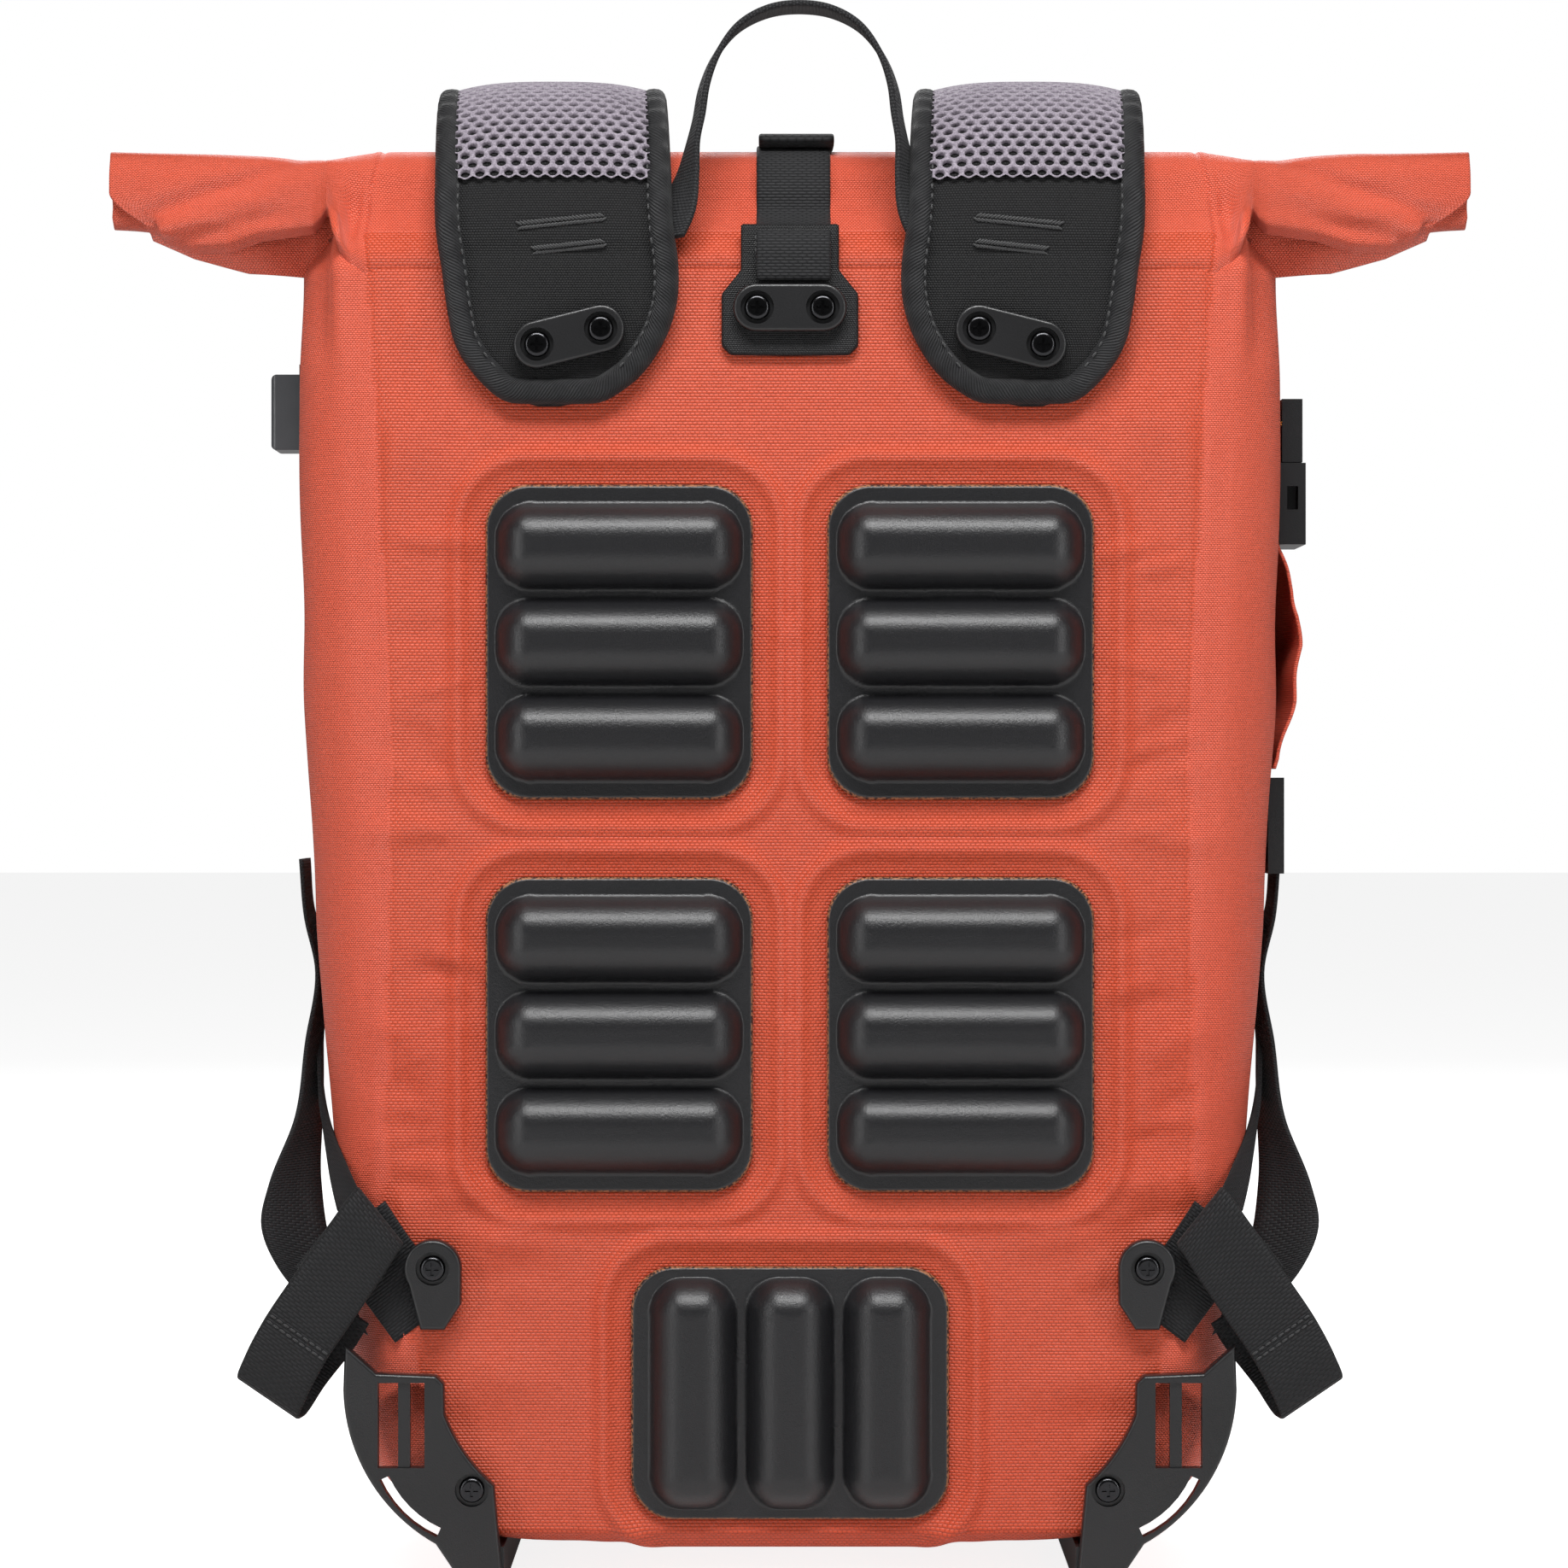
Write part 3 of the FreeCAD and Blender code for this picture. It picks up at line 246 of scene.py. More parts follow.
# %% Camera
scene = bpy.context.scene
camera = bpy.data.objects.new("camera", bpy.data.cameras.new("camera"))
scene.collection.objects.link(camera)
VIEW_DISTANCE, VIEW_WIDTH = 1.5, 0.5277
VIEW_X, VIEW_Z = -0.002, 0.2698
FILM = 36
camera.location = (VIEW_X, BACK_Y - VIEW_DISTANCE, VIEW_Z)
camera.rotation_euler = (math.pi / 2, 0, 0)
camera.data.sensor_width = FILM
camera.data.lens = FILM * VIEW_DISTANCE / VIEW_WIDTH
camera.data.dof.use_dof = False
scene.camera = camera
scene.view_settings.view_transform = "Standard"
print("lens", round(camera.data.lens, 1), "mm")

# %% Floor and backdrop
def glow_for_camera(tree, direct, other):
    """A strength that is high where the camera looks straight at it and low for all other light."""
    seen = tree.nodes.new("ShaderNodeLightPath").outputs["Is Camera Ray"]
    glow = tree.nodes.new("ShaderNodeMath")
    glow.operation = "MULTIPLY_ADD"
    glow.inputs[1].default_value = direct
    glow.inputs[2].default_value = other
    tree.links.new(seen, glow.inputs[0])
    return glow.outputs[0]


FLOOR_HALF, FLOOR_DROP = 12.0, 0.0005
floor_line = np.linspace(-FLOOR_HALF, FLOOR_HALF, 5)
floor_points = np.stack(np.broadcast_arrays(floor_line[None, :], floor_line[:, None], -FLOOR_DROP), -1)
floor = surface("pale_floor", floor_points, closed=False)
paper = bpy.data.materials.new("pale_paper")
paper.use_nodes = True
paper_shader = paper.node_tree.nodes["Principled BSDF"]
paper_shader.inputs["Base Color"].default_value = (0.80, 0.80, 0.80, 1)
paper_shader.inputs["Roughness"].default_value = 0.9
paper_shader.inputs["Emission Color"].default_value = (1, 1, 1, 1)
paper_glow = glow_for_camera(paper.node_tree, 0.80, 0.06)
paper.node_tree.links.new(paper_glow, paper_shader.inputs["Emission Strength"])
floor.data.materials.append(paper)
floor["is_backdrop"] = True

world = bpy.data.worlds.new("studio")
world.use_nodes = True
background = world.node_tree.nodes["Background"]
background.inputs["Color"].default_value = (1, 1, 1, 1)
world.node_tree.links.new(glow_for_camera(world.node_tree, 0.95, 0.05), background.inputs["Strength"])
scene.world = world
print("floor", 2 * FLOOR_HALF, "m wide")


# %% Lights
def soft_light(name, place, aim, size, power):
    """A rectangular lamp at a place, facing a point; sizes in metres, power in watts."""
    lamp = bpy.data.lights.new(name, "AREA")
    lamp.shape = "RECTANGLE"
    lamp.size, lamp.size_y = size
    lamp.energy = power
    holder = bpy.data.objects.new(name, lamp)
    scene.collection.objects.link(holder)
    holder.location = place
    holder.rotation_euler = (Vector(aim) - Vector(place)).to_track_quat("-Z", "Y").to_euler()


soft_light("top_light", (0.0, -0.95, 1.60), (0, -0.05, 0.22), (1.2, 0.40), 36)
soft_light("left_light", (-1.2, -1.0, 0.55), (0, -0.05, 0.25), (0.30, 1.1), 6)
soft_light("right_light", (1.2, -1.0, 0.55), (0, -0.05, 0.25), (0.30, 1.1), 6)
soft_light("rear_light", (0.0, 1.6, 1.5), (0, 0.05, 0.25), (1.6, 0.9), 16)

# %% [markdown]
# ## Finishes
# Woven cloth, webbing, foam and moulded plastic differ mostly in their small relief. Each one here is
# a height pattern that drives both a bump and a slight change of colour. Pictures of cloth would do
# it too, but a pattern made from sines keeps the real thread size on every piece.

# %% A small helper for node patterns
class Pattern:
    """Builds one material: numbers flow through math nodes to the shader."""

    def __init__(self, name, roughness, **fixed):
        self.material = bpy.data.materials.new(name)
        self.material.use_nodes = True
        self.tree = self.material.node_tree
        self.shader = self.tree.nodes["Principled BSDF"]
        self.shader.inputs["Roughness"].default_value = roughness
        for socket, value in fixed.items():
            self.shader.inputs[socket.replace("_", " ")].default_value = value

    def put(self, socket, value):
        """Link an output to a socket, or type a plain value into it."""
        if hasattr(value, "is_linked"):
            self.tree.links.new(value, socket)
        else:
            socket.default_value = value

    def math(self, kind, a, b=0.0, c=0.0):
        """One step of arithmetic."""
        node = self.tree.nodes.new("ShaderNodeMath")
        node.operation = kind
        for socket, value in zip(node.inputs, (a, b, c)):
            self.put(socket, value)
        return node.outputs[0]

    def cloth(self):
        """A point's place on the cloth, and its two coordinates, in metres."""
        node = self.tree.nodes.new("ShaderNodeUVMap")
        node.uv_map = "cloth"
        split = self.tree.nodes.new("ShaderNodeSeparateXYZ")
        self.tree.links.new(node.outputs[0], split.inputs[0])
        return node.outputs[0], split.outputs[0], split.outputs[1]

    def space(self):
        """A point's place in the piece's own space, in metres."""
        return self.tree.nodes.new("ShaderNodeTexCoord").outputs["Object"]

    def noise(self, place, scale, detail=2.0, stretch=(1, 1, 1)):
        """Soft blotches between 0 and 1, scale per metre."""
        mapping = self.tree.nodes.new("ShaderNodeMapping")
        mapping.inputs["Scale"].default_value = stretch
        self.tree.links.new(place, mapping.inputs[0])
        node = self.tree.nodes.new("ShaderNodeTexNoise")
        node.inputs["Scale"].default_value = scale
        node.inputs["Detail"].default_value = detail
        self.tree.links.new(mapping.outputs[0], node.inputs["Vector"])
        return node.outputs[0]

    def fact(self, name):
        """A number stored on each point of the piece."""
        node = self.tree.nodes.new("ShaderNodeAttribute")
        node.attribute_name = name
        return node.outputs["Fac"]

    def blend(self, share, first, second):
        """A colour between two colours."""
        node = self.tree.nodes.new("ShaderNodeMix")
        node.data_type = "RGBA"
        self.put(node.inputs[0], share)
        for socket, value in ((node.inputs[6], first), (node.inputs[7], second)):
            self.put(socket, (*value, 1) if isinstance(value, tuple) and len(value) == 3 else value)
        return node.outputs[2]

    def range(self, value, low, high, to_low=0.0, to_high=1.0):
        """Stretch the numbers from low to high over to_low to to_high."""
        node = self.tree.nodes.new("ShaderNodeMapRange")
        for socket, number in zip(node.inputs[1:5], (low, high, to_low, to_high)):
            socket.default_value = number
        self.put(node.inputs[0], value)
        return node.outputs[0]

    def basket(self, u, v, pitch_u, pitch_v):
        """Rows of raised threads, every second row shifted by half a thread."""
        row = self.math("DIVIDE", v, pitch_v)
        shift = self.math("MULTIPLY", self.math("MODULO", self.math("FLOOR", row), 2.0), 0.5)
        along = self.math("ADD", self.math("DIVIDE", u, pitch_u), shift)
        across = self.math("ABSOLUTE", self.math("SINE", self.math("MULTIPLY", row, math.pi)))
        swell = self.math("ABSOLUTE", self.math("SINE", self.math("MULTIPLY", along, math.pi)))
        return self.math("MULTIPLY", self.math("POWER", across, 0.6), self.math("POWER", swell, 0.5))

    def finish(self, colour, height=None, depth=0.0002, strength=1.0):
        """Set the colour and, from a height pattern, the small relief; give back the material."""
        base = (*colour, 1) if isinstance(colour, tuple) else colour
        self.put(self.shader.inputs["Base Color"], base)
        if height is not None:
            bump = self.tree.nodes.new("ShaderNodeBump")
            bump.inputs["Distance"].default_value = depth
            bump.inputs["Strength"].default_value = strength
            self.put(bump.inputs["Height"], height)
            self.tree.links.new(bump.outputs[0], self.shader.inputs["Normal"])
        return self.material


# %% [markdown]
# ### Coated cloth of the bag
# The back panel is a coarse basket weave with a clear coat over it; the sides and the roll are a
# finer cloth in a lighter, pinker shade that is partly their own colour and partly painted light: the
# brightness the lamps give the sides and the roll is painted into it. One material does both, with a
# fact on each point saying which cloth it is, so that there is no gap along the seam.

# %% Coated cloth
def coated_cloth(name, panel_colour, side_colour_with_painted_light, fine_only=False):
    """Basket weave with coarse cells where the panel fact is 1 and fine cells where it is 0."""
    p = Pattern(name, 0.44, Specular_IOR_Level=0.40, Sheen_Weight=0.05, Sheen_Roughness=0.4)
    place, u, v = p.cloth()
    fine = p.basket(u, v, 0.0011, 0.0007)
    # Off the panel, and over the whole roll, the base colour is the side colour, which has painted light in
    # it.
    if fine_only:
        weave, base = fine, side_colour_with_painted_light
    else:
        panel = p.fact("panel")
        coarse = p.basket(u, v, 0.0016, 0.00105)
        weave = p.math("ADD", p.math("MULTIPLY", coarse, panel),
                       p.math("MULTIPLY", fine, p.math("SUBTRACT", 1.0, panel)))
        base = p.blend(panel, side_colour_with_painted_light, panel_colour)
    cloud = p.noise(place, 9.0, 3.0)
    slub = p.noise(place, 260.0, 2.0, (1, 3, 1))
    gap_colour = tuple(c * 0.42 for c in panel_colour)
    slub_colour = tuple(c * 1.2 for c in side_colour_with_painted_light)
    dark = p.blend(p.range(weave, 0.05, 0.75, 0.75, 0.0), base, gap_colour)
    worn = p.blend(p.range(cloud, 0.3, 0.7, 0.0, 0.08), dark, WORN_CORAL)
    colour = p.blend(p.range(slub, 0.35, 0.7, 0.0, 0.16), worn, slub_colour)
    height = p.math("ADD", weave, p.math("MULTIPLY", slub, 0.35))
    return p.finish(colour, height, 0.00038, 0.80)


CORAL = (0.495, 0.050, 0.012)
# Side and roll colour: lighter and pinker than the panel, partly the cloth's own shade and partly painted
# light for the brightness the lamps give the sides and the roll.
PINK_CORAL_WITH_PAINTED_LIGHT = (0.620, 0.084, 0.040)
WORN_CORAL = (0.66, 0.22, 0.14)
bag_cloth = coated_cloth("coated_basket_weave", CORAL, PINK_CORAL_WITH_PAINTED_LIGHT)
roll_cloth = coated_cloth("coated_fine_weave", CORAL, PINK_CORAL_WITH_PAINTED_LIGHT, fine_only=True)
print("coated cloths:", bag_cloth.name, roll_cloth.name)

# %% [markdown]
# ### Black cloths and webbing
# Black is never just black: threads catch light on their tops. The webbing is woven in ribs across
# its width, the binding tape in slanting twill, and the strap cloth in a small plain weave.

# %% Black textiles
def black_weave(name, pitch_u, pitch_v, light, roughness=0.62, depth=0.0004, sheen=0.04):
    """Black basket weave whose thread tops are a little lighter."""
    p = Pattern(name, roughness, Specular_IOR_Level=0.25, Sheen_Weight=sheen, Sheen_Roughness=0.5)
    place, u, v = p.cloth()
    weave = p.basket(u, v, pitch_u, pitch_v)
    fuzz = p.noise(place, 700.0, 2.0)
    tone = p.math("MULTIPLY", weave, p.range(fuzz, 0.3, 0.7, 0.6, 1.0))
    low = tuple(c * 0.25 for c in light)
    height = p.math("ADD", weave, p.math("MULTIPLY", fuzz, 0.3))
    return p.finish(p.blend(tone, low, light), height, depth, 0.8)


def black_twill(name, pitch, slant, light):
    """Slanting ribs: a sine of the distance along plus slant times the distance across."""
    p = Pattern(name, 0.6, Specular_IOR_Level=0.25, Sheen_Weight=0.05, Sheen_Roughness=0.5)
    place, u, v = p.cloth()
    line = p.math("ADD", u, p.math("MULTIPLY", v, slant))
    rib = p.math("ABSOLUTE", p.math("SINE", p.math("MULTIPLY", line, math.pi / pitch)))
    fuzz = p.noise(place, 900.0, 2.0)
    tone = p.math("MULTIPLY", p.math("POWER", rib, 0.7), p.range(fuzz, 0.3, 0.7, 0.55, 1.0))
    low = tuple(c * 0.2 for c in light)
    return p.finish(p.blend(tone, low, light), rib, 0.0004, 0.8)


webbing_cloth = black_weave("ribbed_webbing", 0.0030, 0.00105, (0.0130, 0.0130, 0.0145))
handle_cloth = black_weave("handle_webbing", 0.0016, 0.0012, (0.022, 0.022, 0.024))
strap_cloth = black_weave("strap_plain_weave", 0.0010, 0.0008, (0.0085, 0.0085, 0.0092))
tab_cloth = black_weave("coated_black_cloth", 0.0009, 0.0007, (0.0080, 0.0080, 0.0088), 0.42, 0.0002, 0.0)
binding_tape = black_twill("binding_twill", 0.0011, 0.9, (0.016, 0.016, 0.0175))
thread = Pattern("black_thread", 0.55, Sheen_Weight=0.3).finish((0.012, 0.012, 0.013))


def spacer_cloth(name, dark, light):
    """Open knitted threads: blotches of two shades, finer than a thread."""
    p = Pattern(name, 0.75, Specular_IOR_Level=0.3, Sheen_Weight=0.35, Sheen_Roughness=0.4)
    fuzz = p.noise(p.space(), 1500.0, 3.0)
    return p.finish(p.blend(p.range(fuzz, 0.3, 0.7), dark, light), fuzz, 0.0003, 0.9)


mesh_cloth = spacer_cloth("lilac_spacer_mesh", (0.130, 0.110, 0.138), (0.31, 0.275, 0.32))
print("textiles:", len(bpy.data.materials))

# %% [markdown]
# ### Foam, plastic and metal
# The pads are foam pressed under heat, with a faint skin grain and a cut edge that shows pale fibres.
# The moulded parts have a spark-eroded grain, and their corners are slightly polished by use.

# %% Foam with a pale cut edge
def pressed_foam():
    """Dark skin with fine grain; where the edge fact is 1 it turns to pale broken fibres."""
    p = Pattern("pressed_foam", 0.37, Specular_IOR_Level=0.5, Sheen_Weight=0.0)
    place = p.space()
    grain = p.noise(place, 2600.0, 2.0)
    pores = p.noise(place, 900.0, 3.0)
    blotch = p.noise(place, 30.0, 3.0)
    skin = p.blend(p.range(grain, 0.35, 0.65), (0.0040, 0.0040, 0.0046), (0.0095, 0.0095, 0.0110))
    skin = p.blend(p.range(blotch, 0.35, 0.7, 0.0, 0.4), skin, (0.0085, 0.0085, 0.0098))
    fibres = p.math("MULTIPLY", p.fact("edge"), p.range(p.noise(place, 1100.0, 1.0), 0.42, 0.56))
    colour = p.blend(fibres, skin, (0.30, 0.13, 0.06))
    return p.finish(colour, p.math("ADD", grain, p.math("MULTIPLY", pores, 0.8)), 0.00018, 0.5)


def moulded(name, dark, light, roughness, grain_size=1900.0, depth=0.00012):
    """Moulded plastic: fine eroded grain, faint flow marks, no picture."""
    p = Pattern(name, roughness, Specular_IOR_Level=0.5)
    place = p.space()
    grain = p.noise(place, grain_size, 2.0)
    flow = p.noise(place, 22.0, 3.0)
    colour = p.blend(p.range(flow, 0.3, 0.7), dark, light)
    return p.finish(colour, grain, depth, 0.5)


def metal(name, tone, roughness):
    """Turned metal with fine rings of handling marks."""
    p = Pattern(name, roughness, Metallic=1.0)
    place = p.space()
    marks = p.noise(place, 1400.0, 3.0)
    return p.finish(p.blend(marks, tuple(c * 0.7 for c in tone), tone), marks, 0.00005, 0.4)


foam = pressed_foam()
black_plastic = moulded("black_moulded_plastic", (0.0060, 0.0060, 0.0065),
                        (0.0100, 0.0100, 0.0108), 0.36)
grey_plastic = moulded("grey_moulded_plastic", (0.035, 0.037, 0.040), (0.060, 0.062, 0.066), 0.30)
rail_plastic = moulded("rail_plastic", (0.014, 0.014, 0.015), (0.024, 0.024, 0.026), 0.36)
sheet_plastic = moulded("stiff_sheet", (0.02, 0.02, 0.021), (0.04, 0.04, 0.042), 0.5)
black_screw = metal("black_screws", (0.045, 0.045, 0.048), 0.24)
steel = metal("plain_steel", (0.56, 0.56, 0.57), 0.28)
print("materials:", len(bpy.data.materials))

# %% [markdown]
# ## The bag
# The real bag is one tube of coated cloth: a flat back panel with pads welded on, welded seams where
# the panel turns into the sides, and soft sides that bulge a little. It could be sculpted, but a
# surface that is a rounded rectangle at every height can be worked out exactly, and then pressed and
# creased by adding small hills and grooves along its own outward direction.

# %% The outline at each height
SHELL_HALF = shell_high[0]
LOWER_HALF = SHELL_HALF - 0.017
LOWER_CORNER = 0.052
EDGE = 0.008
UPRIGHT = 0.024
CORNER_ROWS = 24


def shell_outline(z):
    """Half width, front y and rear y at each height.

    The lower corners are quarter circles in front view, the bottom edge is a small quarter circle in
    side view, and above them the numbers run between a few measured heights.
    """
    rise = z - BOTTOM_Z
    corner = np.clip(LOWER_CORNER - rise, 0, LOWER_CORNER)
    foot = LOWER_HALF - LOWER_CORNER + np.sqrt(LOWER_CORNER ** 2 - corner ** 2)
    heights = [BOTTOM_Z + LOWER_CORNER, BOTTOM_Z + 0.186, RIM_Z - 0.136, RIM_Z - 0.081, RIM_Z]
    halves = [LOWER_HALF, SHELL_HALF - 0.007, SHELL_HALF - 0.002, SHELL_HALF, SHELL_HALF]
    half = np.where(rise < LOWER_CORNER, foot, np.interp(z, heights, halves))
    edge = np.clip(EDGE - rise, 0, EDGE)
    inset = EDGE - np.sqrt(EDGE ** 2 - edge ** 2)
    front = BACK_Y + inset + np.interp(z, [RIM_Z - 0.012, RIM_Z], [0, 0.012])
    rear_heights = [RIM_Z - 0.136, RIM_Z - 0.081, RIM_Z - 0.036, RIM_Z - 0.010, RIM_Z]
    rear = np.interp(z, rear_heights, [0, -0.018, -0.048, -0.082, -0.116]) + REAR_Y - inset
    return half, front, rear


def smoothed(values, reach):
    """A moving average that leaves both ends where they are."""
    kernel = np.hanning(2 * reach + 3)[1:-1]
    padded = np.concatenate([2 * values[0] - values[reach:0:-1], values,
                             2 * values[-1] - values[-2:-reach - 2:-1]])
    return np.convolve(padded, kernel / kernel.sum(), "valid")


# %% The base grid
corner_turn = np.linspace(0, math.pi / 2, CORNER_ROWS)
row_z = np.concatenate([BOTTOM_Z + LOWER_CORNER * (1 - np.cos(corner_turn)),
                        np.linspace(BOTTOM_Z + LOWER_CORNER, RIM_Z, 206)[1:]])
half_z, front_z, rear_z = shell_outline(row_z)
rear_z = np.concatenate([rear_z[:CORNER_ROWS], smoothed(rear_z[CORNER_ROWS:], 9)])
half_z = np.concatenate([half_z[:CORNER_ROWS], smoothed(half_z[CORNER_ROWS:], 12)])
radius_z = np.minimum(UPRIGHT, np.minimum((rear_z - front_z) / 2 - 0.002, half_z * 0.8))


def half_plan(half, front, rear, radius):
    """Right half of a rounded rectangle, from the middle of the front to the middle of the rear.

    Five runs in order: front, quarter circle, side, quarter circle, rear. Each has its own number of
    points, so a column keeps its place on the cloth from bottom to top.
    """
    h, f, r, c = (a[:, None] for a in (half, front, rear, radius))
    s = np.linspace(0, 1, 85)[None, :-1]
    a = np.linspace(0, math.pi / 2, 13)[None, :-1]
    side = np.linspace(0, 1, 39)[None, :-1]
    b = np.linspace(0, math.pi / 2, 9)[None, :-1]
    back = np.linspace(0, 1, 35)[None, :]
    x = np.concatenate([s * (h - c), h - c + c * np.sin(a), h + 0 * side, h - c + c * np.cos(b),
                        (1 - back) * (h - c)], 1)
    y = np.concatenate([f + 0 * s, f + c - c * np.cos(a), f + c + side * (r - f - 2 * c),
                        r - c + c * np.sin(b), r + 0 * back], 1)
    return x, y


plan_x, plan_y = half_plan(half_z, front_z, rear_z, radius_z)
full_x = np.concatenate([-plan_x[:, :0:-1], plan_x], 1)
full_y = np.concatenate([plan_y[:, :0:-1], plan_y], 1)
body_points = np.stack([full_x, full_y, np.broadcast_to(row_z[:, None], full_x.shape)], -1)
centre_column = plan_x.shape[1] - 1
print("body grid", body_points.shape)

# %% Pattern coordinates that keep their size round the corners
step_u = np.linalg.norm(np.diff(body_points[..., :2], axis=1), axis=-1)
along_u = np.concatenate([np.zeros((len(row_z), 1)), np.cumsum(step_u, 1)], 1)
along_u -= along_u[:, centre_column:centre_column + 1]
along_v = lengths(body_points[:, centre_column])
body_uv = np.stack([along_u, np.broadcast_to(along_v[:, None], along_u.shape)], -1)
print("cloth round the bag:", round(np.ptp(along_u[len(row_z) // 2]), 3), "m")

# %% [markdown]
# ### Relief on the back panel
# Each pad is pressed into the panel, so a soft rounded bead stands up round it. Between the pads and
# the side seams the cloth gathers in shallow level wrinkles, the welded seam is a fine groove, and at
# the top corners the side folds in under the roll. Distances to a rounded rectangle give the beads.

# %% Beads, wrinkles, seam and folds
PAD_NODES = ("upper_pad_left", "upper_pad_right", "lower_pad_left", "lower_pad_right", "lumbar_pad")


def pad_distance(x, z, node):
    """Distance outside a pad's rounded outline, negative inside it."""
    low, high = corners(node)
    corner = 0.014
    qx = np.abs(x - (low[0] + high[0]) / 2) - ((high[0] - low[0]) / 2 - corner)
    qz = np.abs(z - (low[2] + high[2]) / 2) - ((high[2] - low[2]) / 2 - corner)
    return np.hypot(np.maximum(qx, 0), np.maximum(qz, 0)) + np.minimum(np.maximum(qx, qz), 0) - corner


def seam_place(z):
    """How far from the middle the welded side seam runs at each height."""
    return np.interp(z, [0.014, 0.131, 0.217, 0.275, 0.390, 0.456],
                     [0.112, 0.1365, 0.135, 0.1345, 0.1395, 0.1435])


def gathers(x, z, count, places, spreads, depth):
    """Sum of long level hills at seeded places, some up and some down."""
    total = np.zeros_like(x)
    for _ in range(count):
        cx = rng.uniform(*places[0])
        cz = rng.uniform(*places[1])
        slant = rng.uniform(-0.25, 0.25)
        wide, tall = rng.uniform(*spreads[0]), rng.uniform(*spreads[1])
        size = rng.uniform(0.5, 1.0) * rng.choice([-0.8, 1.0]) * depth
        for side in (-1, 1):
            shift = 0.004 * rng.standard_normal()
            level = z - side * slant * (x - side * cx)
            total += size * hill(x, side * cx, wide) * hill(level, cz + shift, tall)
    return total


px, py, pz = np.moveaxis(body_points, -1, 0)
ax = np.abs(px)
on_front = fall(py, BACK_Y + 0.004, BACK_Y + UPRIGHT)
on_panel = on_front * fall(pz, RIM_Z - 0.014, RIM_Z - 0.004)
nearest = np.min([pad_distance(px, pz, n) for n in PAD_NODES], 0)
bead = 0.0024 * hill(nearest, 0.0093, 0.0030) + 0.0005 * hill(nearest, 0.017, 0.005)
sunk = -0.0009 * fall(nearest, 0.0, 0.0045)
relief = on_panel * (bead + sunk)
for pinch_z in (0.323, 0.189):
    pinch = hill(pz, pinch_z - 0.003, 0.004) - 0.7 * hill(pz, pinch_z + 0.005, 0.003)
    relief += on_panel * 0.0007 * hill(px, 0, 0.0035) * pinch
FRONT_GATHERS = [  # how many, places across and up, widths and heights, depth
    (26, ((0.112, 0.132), (0.13, 0.37)), ((0.007, 0.014), (0.0025, 0.0050)), 0.0019),
    (14, ((0.09, 0.13), (0.05, 0.14)), ((0.008, 0.02), (0.004, 0.009)), 0.0016),
    (12, ((0.10, 0.135), (0.37, 0.44)), ((0.004, 0.010), (0.010, 0.022)), 0.0015)]
for many, places, spreads, depth in FRONT_GATHERS:
    relief += on_front * gathers(px, pz, many, places, spreads, depth)
seam_gap = ax - seam_place(pz)
on_seam = py < BACK_Y + 0.03
relief += on_seam * (-0.0009 * hill(seam_gap, 0, 0.0008) + 0.0005 * hill(seam_gap, 0.0024, 0.0016)
                     - 0.0005 * hill(seam_gap, 0.0062, 0.0006))
high_fold = ramp(pz, RIM_Z - 0.065, RIM_Z - 0.012)
relief += on_seam * high_fold * (0.0022 * hill(ax, 0.1515, 0.0030) - 0.0012 * hill(ax, 0.1440, 0.0035))
relief += 0.00125 * hill(pz, 0.30, 0.13) * ramp(ax, SHELL_HALF - 0.012, SHELL_HALF - 0.002)
print("tallest bead", round(relief.max() * 1000, 1), "mm")

# %% Sides, bottom and the outward push
side_share = ramp(ax, SHELL_HALF - 0.030, SHELL_HALF - 0.004) * ramp(py, BACK_Y, BACK_Y + 0.03)
folds = gathers(px, pz, 10, ((0.158, 0.165), (0.10, 0.40)), ((0.02, 0.03), (0.010, 0.025)), 0.0016)
depth_wave = np.sin((py - BACK_Y) / (REAR_Y - BACK_Y) * math.pi)
relief += side_share * (folds + 0.0025) * depth_wave
rear_face = ramp(py, rear_z[:, None] - 0.012, rear_z[:, None] - 0.001)
relief += rear_face * gathers(px, pz, 16, ((0.02, 0.13), (0.05, 0.42)), ((0.02, 0.05), (0.006, 0.02)), 0.0008)
welt = hill(pz, BOTTOM_Z + 0.0045, 0.0014)
relief += on_front * 0.0010 * welt * (ax < LOWER_HALF - 0.02)


def outward(points):
    """Unit direction square to the grid at each point, the cross product of its two edges."""
    du = np.gradient(points, axis=1)
    dv = np.gradient(points, axis=0)
    return unit(np.cross(du, dv))


DEEPEST = 0.0012
relief = np.where(on_front > 0.2, np.maximum(relief, -DEEPEST), relief)
body_points = body_points + outward(body_points) * relief[..., None]
tuck = 0.0115 * ramp(ax, 0.1535, 0.1575) * ramp(pz, RIM_Z - 0.050, RIM_Z - 0.014)
body_points[..., 1] += tuck * fall(body_points[..., 1], BACK_Y + 0.02, BACK_Y + 0.05)
panel_fact = on_front * (ax < seam_place(pz)) * (pz < RIM_Z - 0.002)
panel_fact = np.where(body_points[..., 1] > BACK_Y + 0.012, 0.0, panel_fact)

# %% Closing the bottom and the top, and making the piece
def shrunk_rings(outline, shares, height):
    """The outline made smaller towards its middle, once for each share, running to one height."""
    middle = np.array([0, outline[:, 1].mean(), height])
    return middle + (outline - middle) * shares[:, None, None]


